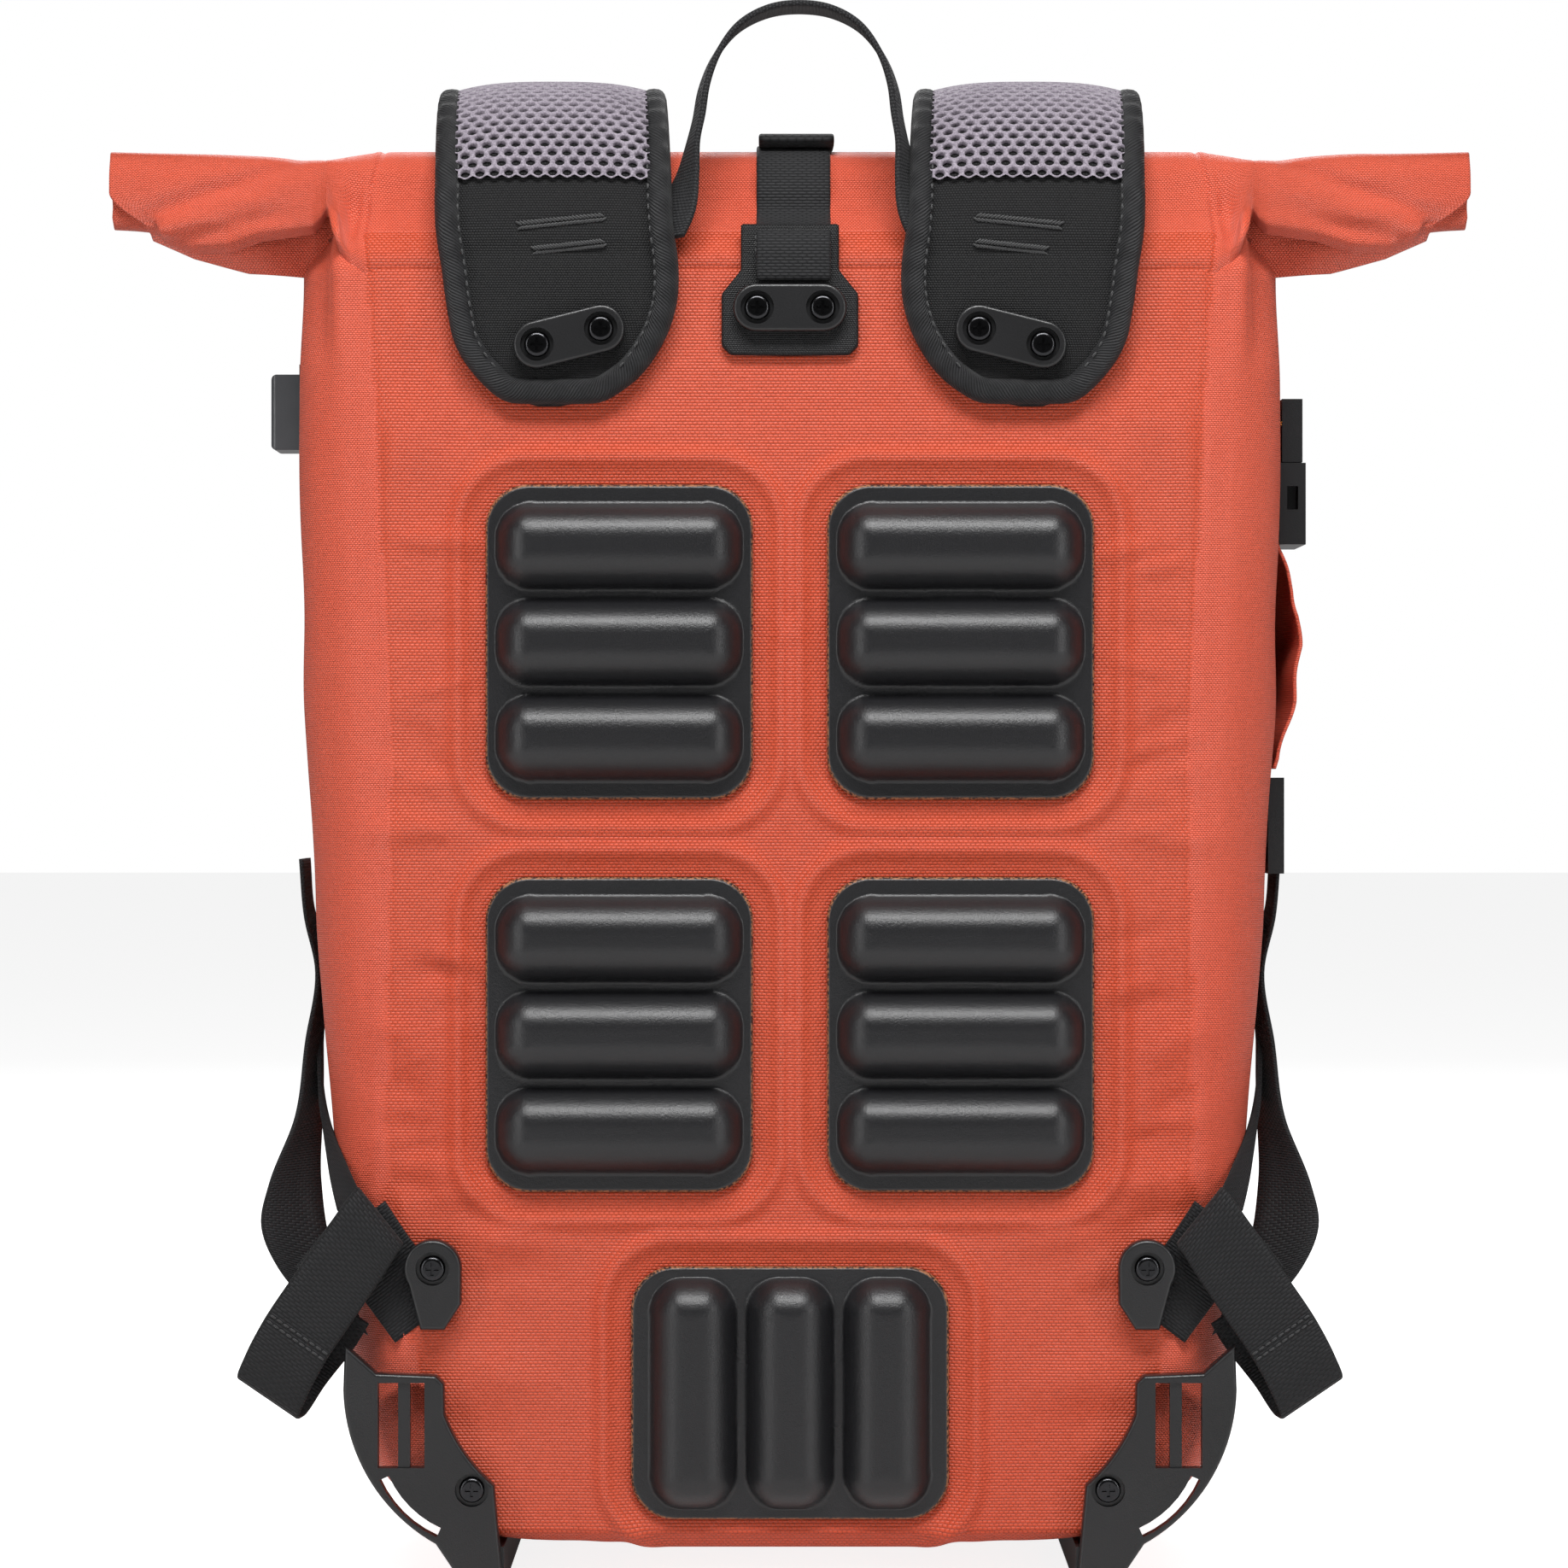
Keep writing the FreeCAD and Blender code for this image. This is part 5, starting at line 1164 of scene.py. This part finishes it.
# %% The open spacer mesh
def spacer_mesh(flip):
    """Six-sided cells in staggered rows, each with an oval hole.

    A cell has four rings of twelve points: its outline, the rounded top of the threads, the rim of the
    hole and the bottom of the hole. Rings share their outline with their neighbours.
    """
    pitch_side, pitch_run = 0.0049, 0.0030
    rows = int((strap_run[-1] - 0.020 - MESH_START) / pitch_run)
    row, col = np.meshgrid(np.arange(rows), np.arange(-8, 9), indexing="ij")
    run_0 = MESH_START + (row + 0.7) * pitch_run
    side_0 = (col + 0.5 * (row % 2)) * pitch_side
    room = strap_half(run_0) - TAPE + 0.0015
    keep = np.abs(side_0) < room + 0.2 * pitch_side
    run_0, side_0 = run_0[keep], side_0[keep]
    six = np.array([[0, 2], [-1.5, 1], [-1.5, -1], [0, -2], [1.5, -1], [1.5, 1]]) / 3
    outline = np.empty((12, 2))
    outline[0::2] = six
    outline[1::2] = (six + np.roll(six, -1, 0)) / 2
    turn = np.arctan2(outline[:, 1], outline[:, 0])
    hole = np.stack([0.355 * np.cos(turn), 0.40 * np.sin(turn)], -1)
    rings = [outline, outline * 0.45 + hole * 0.55, hole, hole * 0.96]
    lifts = [0.0005, 0.00062, 0.00015, -0.0016]
    scale = np.array([pitch_side, pitch_run])
    plan = np.stack([ring * scale for ring in rings])
    side_at = side_0[:, None, None] + plan[None, ..., 0]
    run_at = run_0[:, None, None] + plan[None, ..., 1]
    half = strap_half(run_at)
    limit = half - TAPE + 0.0022
    side_at = np.clip(side_at, -limit, limit)
    share = side_at / half
    lift = core_top(run_at, share) + 0.0012 + np.array(lifts)[None, :, None]
    points = strap_point(run_at, share, lift) * np.array([flip, 1, 1])
    here = np.arange(36).reshape(3, 12)
    after = np.roll(here, -1, 1)
    cell_faces = np.stack([here, after, after + 12, here + 12], -1).reshape(-1, 4)
    faces = (np.arange(len(run_0))[:, None, None] * 48 + cell_faces).reshape(-1, 4)
    return points.reshape(-1, 3), faces if flip > 0 else faces[:, ::-1]


for name, flip in (("left", -1), ("right", 1)):
    core = surface("strap_core_" + name, *strap_core(flip))
    dress(core, "root", strap_cloth, "strap_fabric", "shoulder_strap_" + name)
    tape = surface("strap_tape_" + name, *edge_tape(flip))
    dress(tape, "root", binding_tape, "strap_fabric")
    lattice = new_piece("strap_mesh_" + name, *spacer_mesh(flip), closed=False)
    dress(lattice, "root", mesh_cloth, "strap_fabric")

# %% [markdown]
# ## Webbing
# All the narrow straps are the same kind of thing: a flat woven band about as thick as a coin, which
# lies, folds and twists. A curve with a bevel can't keep one face outwards through a fold, so a band
# here is a rounded flat section carried along a smooth line, with its width direction given at each
# turn.

# %% A band of webbing
def band_surface(knots, width, thickness, count):
    """Flat section with round edges along a smooth line.

    Knots are x, y, z, then the width direction x, y, z. The section runs along one face, round an
    edge of half the thickness, back along the other face and round again.
    """
    line = through(knots, count)
    path, across = line[:, :3], unit(line[:, 3:])
    normal = unit(np.cross(unit(np.gradient(path, axis=0)), across))
    flat = np.linspace(-1, 1, 7)
    half, edge = width / 2 - thickness / 2, thickness / 2
    turn = np.linspace(-math.pi / 2, math.pi / 2, 5)[1:-1]
    su = np.concatenate([flat * half, half + edge * np.cos(turn), -flat * half, -half - edge * np.cos(turn)])
    sv = np.concatenate([-edge + 0 * flat, edge * np.sin(turn), edge + 0 * flat, -edge * np.sin(turn)])
    su, sv = np.append(su, su[0])[:, None], np.append(sv, sv[0])[:, None]
    points = path[:, None] + across[:, None] * su + normal[:, None] * sv
    first, last = (path[i] + across[i] * su * 0.98 for i in (0, -1))
    points = np.concatenate([first[None], points, last[None]])
    rows = np.pad(lengths(path), 1, mode="edge")
    ring = np.concatenate([flat * half, np.linspace(half, width - half, 3), width - flat * half,
                           np.linspace(width + half, 2 * width - half, 3), [2 * width - half]])
    return points, np.stack(np.broadcast_arrays(ring[None, :], rows[:, None]), -1)


def mirror_rows(knots):
    """The same knots on the other side of the bag."""
    rows = np.array(knots, float)
    rows[:, [0, 3]] *= -1
    return rows


def flat_rows(places):
    """Knots for a band whose width lies level, along X."""
    return [(*place, 1, 0, 0) for place in places]


WEB, WEB_THICK = 0.025, 0.0016


def webbing(name, knots, count, stands_for=(), width=WEB, thickness=WEB_THICK,
            cloth=webbing_cloth, body="root"):
    """A band of webbing with its material and its body."""
    piece = surface(name, *band_surface(knots, width, thickness, count))
    return dress(piece, body, cloth, "webbing", *stands_for)


# %% Stitches
def stitch_row(name, places, along, normal, colour=thread, length=0.0022, thick=0.00035):
    """Short raised threads: each is a spindle of five rings of six points with closed tips."""
    places, along, normal = (np.asarray(a, float) for a in (places, along, normal))
    along = unit(np.broadcast_to(along, places.shape))
    normal = unit(np.broadcast_to(normal, places.shape))
    side = np.cross(along, normal)
    run = np.array([-0.5, -0.36, 0.0, 0.36, 0.5])[:, None, None] * length
    radius = np.array([0.02, 0.8, 1.0, 0.8, 0.02])[:, None, None] * thick
    a = np.linspace(0, 2 * math.pi, 7)[:, None]
    along, normal, side = (v[:, None, None] for v in (along, normal, side))
    ring = along * run + (side * np.cos(a) + normal * np.sin(a)) * radius
    points = places[:, None, None] + ring
    faces = (np.arange(len(places))[:, None, None] * 35 + grid_faces(5, 7)).reshape(-1, 4)
    piece = new_piece(name, points.reshape(-1, 3), faces)
    return dress(piece, "root", colour, "webbing")


# %% [markdown]
# ### The closing strap
# It starts under the centre tab, runs up the front of the roll, over it and down the far side to the
# plug of its buckle. On the bag its last few centimetres follow the plug when that is released; here
# the piece is attached to no moving part.

# %% Closing strap
plug_low, plug_high = corners("buckle_plug")
slope = math.atan2(18, 55)
face_y = BACK_Y - 0.0039
roll_front = roll_low[1]
plug_bar = np.array([0.0, plug_low[1] + 0.0052, plug_high[2] - 0.0058])
down_slope = np.array([0.0, math.sin(slope), -math.cos(slope)])
over_roll = [(0.0012, face_y - 0.0006, RIM_Z - 0.017), (0.0012, face_y - 0.0007, RIM_Z - 0.004),
             (0.0012, roll_front - 0.0022, RIM_Z + 0.009),
             (0.0012, roll_front - 0.0016, ROLL_TOP_Z - 0.015),
             (0.0012, roll_front + 0.0040, ROLL_TOP_Z - 0.0035),
             (0.0012, roll_front + 0.0130, ROLL_TOP_Z + 0.0010),
             (0.0010, roll_front + 0.0240, ROLL_TOP_Z + 0.0016),
             (0.0006, roll_front + 0.0345, ROLL_TOP_Z - 0.0030),
             (0.0003, roll_front + 0.0450, ROLL_TOP_Z - 0.0160)]
to_plug = [plug_bar - down_slope * 0.046 + np.array([0, 0.0010, 0]),
           plug_bar - down_slope * 0.012 + np.array([0, 0.0016, 0]), plug_bar]
closure = webbing("closing_strap", flat_rows(over_roll + to_plug), 150, ("closure_strap",), body=None)
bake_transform(closure)

# %% Its folded end on top of the roll
end_y, end_z = roll_front + 0.0075, ROLL_TOP_Z + 0.0022
fold_knots = [(0.0020, end_y + 0.0165, end_z), (0.0022, end_y + 0.008, end_z),
              (0.0022, end_y - 0.0010, end_z + 0.0001), (0.0022, end_y - 0.0030, end_z + 0.0011),
              (0.0022, end_y - 0.0010, end_z + 0.0021), (0.0024, end_y + 0.008, end_z + 0.0021),
              (0.0024, end_y + 0.0160, end_z + 0.0020)]
webbing("closing_strap_fold", flat_rows(fold_knots), 60, ("strap_end",), WEB + 0.0006)

# %% [markdown]
# ### The carry handle
# One length of narrow webbing comes from behind each shoulder strap, twists on edge and meets in a
# tall arch. The arch folds forward on the bag; this piece keeps one shape and is attached to no moving part.

# %% Carry handle
loop_low, loop_high = corners("carry_handle")
HANDLE_X, HANDLE_Y = (loop_low[:2] + loop_high[:2]) / 2
HANDLE_Z = loop_low[2]
HANDLE_WIDTH, HANDLE_THICK = 0.0185, 0.0021
left_arch = np.array([
    (-0.0460, -0.0045, -0.0300, 0.95, -0.30, 0.15), (-0.0415, -0.0030, -0.0205, 0.80, -0.60, 0.0),
    (-0.0372, 0.0000, -0.0080, 0.42, -0.90, 0.0), (-0.0352, 0, 0.004, 0.20, -0.98, 0),
    (-0.0335, 0, 0.0120, 0.17, -0.98, 0), (-0.0318, 0, 0.0225, 0.15, -0.98, 0),
    (-0.0278, 0, 0.0330, 0.12, -0.99, 0), (-0.0205, 0, 0.0425, 0.08, -1, 0),
    (-0.0105, 0, 0.0478, 0.04, -1, 0), (0.0010, 0, 0.0492, 0.0, -1, 0)])
handle_knots = np.concatenate([left_arch, mirror_rows(left_arch[-2::-1])])
handle_knots += [HANDLE_X, HANDLE_Y, HANDLE_Z, 0, 0, 0]
handle_knots[:, 0] += 0.0012 * np.sin(np.linspace(0, math.pi, len(handle_knots)))
handle = webbing("carry_strap", handle_knots, 260, ("carry_handle", "handle_ends"),
                 HANDLE_WIDTH, HANDLE_THICK, handle_cloth, None)
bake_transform(handle)

# %% [markdown]
# ### Webbing at the lower corners
# From the ladder lock at the strap's lower end the webbing comes round the side of the bag and goes
# under the corner tab. Its free end hangs in a slack loop beside it, doubles round it and ends in a
# sewn loop to pull on.

# %% Lower corners
tab_low, tab_high = corners("corner_tab_left")
TAB_X, TAB_Z = (tab_low[0] + tab_high[0]) / 2, tab_high[2] - 0.0096
lock_low, lock_high = corners("ladder_lock_left")
LOCK_X, LOCK_Y, LOCK_Z = (lock_low + lock_high) / 2
F, SIDE = BACK_Y, SHELL_HALF
under_tab = [(TAB_X - 0.0260, F - 0.0042, TAB_Z + 0.0150, -0.80, 0.0, -0.60),
             (TAB_X - 0.0190, F - 0.0026, TAB_Z + 0.0040, -0.80, 0.0, -0.60),
             (TAB_X - 0.0110, F - 0.0014, TAB_Z - 0.0070, -0.80, 0.0, -0.60),
             (TAB_X - 0.0030, F - 0.0013, TAB_Z - 0.0180, -0.80, 0.0, -0.60)]
round_side = [(LOCK_X, LOCK_Y - 0.001, LOCK_Z + 0.006, 1, 0, 0),
              (LOCK_X - 0.006, LOCK_Y - 0.003, LOCK_Z - 0.014, 0.96, -0.1, -0.25),
              (-SIDE + 0.016, REAR_Y + 0.004, 0.236, 0.45, -0.45, -0.77),
              (-SIDE + 0.0010, REAR_Y - 0.030, 0.222, 0.0, -0.38, -0.92),
              (-SIDE - 0.0010, REAR_Y - 0.070, 0.202, 0.0, -0.40, -0.91),
              (-SIDE + 0.0015, F + 0.066, 0.182, 0.05, -0.44, -0.89),
              (-SIDE + 0.0050, F + 0.036, 0.163, 0.15, -0.55, -0.82),
              (-SIDE + 0.0120, F + 0.0130, 0.146, 0.45, -0.60, -0.66),
              (-0.1475, F + 0.0005, 0.1310, 0.66, -0.45, -0.60),
              (TAB_X - 0.0225, F - 0.0040, TAB_Z + 0.0120, 0.79, -0.05, -0.61)]
slack = [(-SIDE - 0.0022, F + 0.046, 0.244, 0.0, 1.0, 0.0),
         (-SIDE - 0.0010, F + 0.050, 0.225, 0.0, 1.0, 0.05),
         (-SIDE + 0.0030, F + 0.060, 0.208, 0.10, 0.95, 0.20),
         (-SIDE + 0.0010, F + 0.048, 0.182, 0.12, 0.97, 0.12),
         (-0.1655, F + 0.0330, 0.156, 0.25, 0.95, 0.02), (-0.1685, F + 0.0180, 0.134, 0.62, 0.78, -0.02),
         (-0.1675, F + 0.0080, 0.119, 0.85, 0.50, -0.15), (-0.1610, F + 0.0030, 0.103, 0.92, 0.20, -0.33),
         (-0.1530, F + 0.0010, 0.090, 0.88, 0.0, -0.47)]
pull = [(-0.1560, F - 0.0050, 0.1000, 0.80, 0.0, -0.60), (-0.1460, F - 0.0050, 0.1130, 0.72, 0.0, -0.69),
        (-0.1395, F - 0.0052, 0.1225, 0.64, 0.0, -0.77), (-0.1375, F - 0.0070, 0.1250, 0.62, 0.0, -0.78),
        (-0.1392, F - 0.0089, 0.1226, 0.64, 0.0, -0.77), (-0.1450, F - 0.0098, 0.1140, 0.72, 0.0, -0.69),
        (-0.1560, F - 0.0098, 0.0980, 0.80, 0.0, -0.60), (-0.1660, F - 0.0100, 0.0830, 0.82, 0.0, -0.57),
        (-0.1720, F - 0.0095, 0.0715, 0.82, 0.02, -0.57), (-0.1748, F - 0.0065, 0.0645, 0.82, 0.05, -0.57),
        (-0.1735, F - 0.0020, 0.0645, 0.82, 0.08, -0.57), (-0.1670, F + 0.0015, 0.0740, 0.82, 0.08, -0.57),
        (-0.1570, F + 0.0025, 0.0870, 0.82, 0.05, -0.57), (-0.1520, F + 0.0005, 0.0950, 0.82, 0.0, -0.57)]
STITCH_SPAN = 0.0105 * np.linspace(-1, 1, 9)[:, None]
for name, side in (("left", 1), ("right", -1)):
    turned = np.array if side > 0 else mirror_rows
    webbing("tab_band_" + name, turned(under_tab), 40, ("tab_webbing_" + name,))
    webbing("side_webbing_" + name, turned(round_side), 160, ("lower_webbing_" + name,))
    webbing("slack_webbing_" + name, turned(slack), 70)
    webbing("pull_loop_" + name, turned(pull), 170, ("strap_tail_" + name,))
    across = np.array([0.82 * side, 0.0, -0.57])
    middle = np.array([-0.1640 * side, F - 0.0110, 0.0858])
    for k, shift in enumerate((0.0, 0.22)):
        places = middle + STITCH_SPAN * across + np.array([-0.0058 * side, 0, -0.0082]) * shift
        stitch_row(f"pull_stitch_{name}_{k}", places, across, (0, -1, 0))

# %% [markdown]
# ## Tab, fold and small sewn parts
# The centre tab is a die-cut piece of coated cloth, so it has a crisp outline with slightly rounded
# rims. Its outline is given by a few corners, which are cut again and again until they are round, and
# then shrunk towards the middle to make the face.

# %% A die-cut plate
def die_cut(outline_corners, front_y, back_y, rim=0.0006, rounds=3):
    """Rings of one outline: face from the middle out, a rounded rim, the wall and the back.

    Corner cutting replaces each corner by two points a quarter of the way along its two sides.
    """
    outline = np.array(outline_corners, float)
    for _ in range(rounds):
        after = np.roll(outline, -1, 0)
        outline = np.stack([outline * 0.75 + after * 0.25, outline * 0.25 + after * 0.75], 1).reshape(-1, 2)
    fine = np.concatenate([outline, outline[:1]])
    run = lengths(fine)
    at = np.linspace(0, run[-1], 161)
    outline = np.stack([np.interp(at, run, fine[:, 0]), np.interp(at, run, fine[:, 1])], -1)
    middle = (outline.max(0) + outline.min(0)) / 2
    size = np.abs(outline - middle).mean()
    scales = np.array([0, 0.3, 0.6, 0.85, 1 - rim / size, 1 - 0.3 * rim / size, 1, 1, 0])
    ys = np.array([front_y] * 5 + [front_y + rim * 0.3, front_y + rim, back_y, back_y])
    rings = middle + (outline - middle) * scales[:, None, None]
    points = np.stack(np.broadcast_arrays(rings[..., 0], ys[:, None], rings[..., 1]), -1)
    return points, rings


# %% Centre tab and its bartack
tab_face, tab_back = corners("centre_tab")
half_top, half_wide = 0.0165, tab_back[0]
low, high = tab_face[2], tab_back[2]
left_rim = [(half_top, high + 0.0030), (half_top, high - 0.0125), (half_top + 0.0012, high - 0.0140),
            (half_wide, high - 0.0205), (half_wide, low + 0.0030), (half_wide - 0.0030, low)]
tab_rim = [(-x, z) for x, z in left_rim] + [(0, low - 0.0003)] + left_rim[::-1]
STEP = 0.0012
dense = []
for a, b in zip(np.array(tab_rim), np.array(tab_rim[1:] + tab_rim[:1])):
    cuts = max(2, int(math.dist(a, b) / STEP))
    dense.append(a + (b - a) * np.arange(cuts)[:, None] / cuts)
tab_points, tab_uv = die_cut(np.concatenate(dense), tab_face[1], tab_back[1])
tab_piece = surface("centre_tab_cloth", tab_points, tab_uv)
dress(tab_piece, "root", tab_cloth, "black_coated_fabric", "centre_tab")
tack_x = np.linspace(-0.0112, 0.0117, 30)
lean = np.stack(np.broadcast_arrays(0.35 * zigzag(30), 0.0, 1.0), -1)
for k, rise in enumerate((0.0, 0.0021, 0.0042)):
    places = np.stack(np.broadcast_arrays(tack_x, tab_face[1] - 0.0002, high - 0.0062 + rise), -1)
    stitch_row(f"tab_bartack_{k}", places, lean, (0, -1, 0), length=0.0024, thick=0.00042)

# %% Bartacks and tape stitching on the shoulder straps
for name, flip in (("left", -1), ("right", 1)):
    turned = np.array([flip, 1, 1])
    for k, (run, low_side, high_side) in enumerate(((0.0605, -0.42, 0.30), (0.0530, -0.40, 0.20))):
        side = np.linspace(low_side, high_side, 46)
        runs = run - 0.0035 * side + 0.0007 * zigzag(46)
        places = strap_point(runs, side, core_top(runs, side) + 0.0003) * turned
        lean = np.stack(np.broadcast_arrays(0.9 * flip, 0.0, 0.5 * zigzag(46)), -1)
        stitch_row(f"strap_bartack_{name}_{k}", places, lean, (0, -1, 0), length=0.0026, thick=0.00040)
    runs = np.arange(0.014, strap_run[-1] - 0.02, 0.0034)
    lift = np.interp(runs, strap_run, strap_line[:, 5]) * 0.5 + 0.0038
    for k, sign in enumerate((-1, 1)):
        side = sign * (1 - (TAPE - 0.0012) / strap_half(runs))
        places = strap_point(runs, side, lift) * turned
        along = np.gradient(places, axis=0)
        stitch_row(f"tape_stitch_{name}_{k}", places, along, strap_outward(runs) * turned, thick=0.00032)

# %% [markdown]
# ### The fold on the right side
# Spare cloth of the bag stands out below the side buckle as an open fold: a curved sheet that leaves
# the side along its rear edge and is open towards the wearer. It is a sheet with a real thickness, so
# that its shaded inside shows.

# %% Side fold
flap_low, flap_high = corners("side_flap")


def side_fold():
    """Outer and inner face of a curved sheet, joined round the rim.

    Its distance from the bag follows a measured curve down the bag, times 1 - s^1.6 from the
    open front edge to the rear edge, with a slow wave along the open edge.
    """
    z = np.linspace(flap_high[2] + 0.002, flap_low[2] - 0.001, 70)[:, None]
    s = np.linspace(0, 1, 30)[None, :]
    heights = np.array([0.275, 0.280, 0.298, 0.3175, 0.3276, 0.336, 0.345, 0.354])
    out = np.interp(z, heights, np.array([0.0, 1.4, 6.0, 9.3, 9.0, 7.2, 3.8, 0.0]) / 1000)
    out = out + 0.0006 * np.sin(z * 260.0) * (out > 0.001)
    x = SHELL_HALF + 0.0010 + out * (1 - s ** 1.6) + 0.0008 * np.sin(s * 9 + z * 90)
    y = flap_low[1] + 0.004 * np.sin((z - flap_low[2]) * 40.0) + s * (flap_high[1] - flap_low[1])
    outer = np.stack(np.broadcast_arrays(x, y, z), -1)
    out_way = outward(outer)
    inner = outer - out_way * CLOTH * np.sign(out_way[35, 15, 0])
    return thick_sheet(outer.swapaxes(0, 1), inner.swapaxes(0, 1)).swapaxes(0, 1)


fold_points = side_fold()
fold_piece = surface("side_fold", fold_points, fold_points[..., [1, 2]])
dress(fold_piece, "root", roll_cloth, "coated_fabric", "side_flap")

# %% Webbing that holds the rear buckle, and a loose end of thread
rear_z_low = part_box("buckle_strap")[0][2]
socket_low, socket_high = corners("buckle_socket")
socket_y, socket_z = socket_high[1] - 0.0045, socket_low[2] + 0.0050
rear_knots = [(0, REAR_Y + 0.0012, rear_z_low - 0.012), (0, REAR_Y + 0.0013, rear_z_low - 0.002),
              (0, REAR_Y + 0.0024, rear_z_low + 0.008),
              (0, (REAR_Y + socket_y) / 2 + 0.0020, (rear_z_low + 0.008 + socket_z) / 2),
              (0, socket_y, socket_z)]
webbing("buckle_webbing", flat_rows(rear_knots), 50, ("buckle_strap",))
orange = Pattern("orange_thread", 0.6).finish((0.75, 0.30, 0.05))
patch_low, patch_high = corners("side_patch")
thread_x, thread_y = patch_high[0] + 0.0012, patch_low[1] + 0.002
thread_ends = [(thread_x, thread_y, patch_high[2] - drop) for drop in (0.010, 0.0108)]
stitch_row("loose_thread", thread_ends, [(1, 0, 0.1), (1, 0, -0.2)], (0, -1, 0), orange, 0.0040, 0.00025)

# %% [markdown]
# ## Finishes of the moulded and metal parts
# These parts already have their exact shape, so only their material slots change.

# %% Finishes by slot
FINISHES = {"grey_plastic": grey_plastic, "rail_plastic": rail_plastic, "black_plastic": black_plastic,
            "black_screws": black_screw, "steel": steel, "stiff_sheet": sheet_plastic,
            "black_coated_fabric": tab_cloth}
slot_of = {row["node"]: row["material_slot"] for row in frame["record"]["subparts"]}
done = 0
for name, node in nodes.items():
    finish = FINISHES.get(slot_of[name])
    if finish is None or node.hide_render:
        continue
    if name == "side_patch":
        finish = grey_plastic
    if node.material_slots:
        for place in node.material_slots:
            place.material = finish
    else:
        node.data.materials.append(finish)
    done += 1
print("finished moulded and metal parts:", done)
left_plain = [n for n, o in nodes.items() if not o.hide_render and slot_of[n] not in FINISHES]
print("nodes still plain:", left_plain)

# %% [markdown]
# ## Checking the size
# The dressed bag should fill the same box as the exact model, so both boxes are kept side by side.

# %% Checking the size and finishing
visual_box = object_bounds()
grown = (np.array(visual_box) - np.array(cad_box)) * 1000
print("size grew by mm:", grown.round(1).tolist())
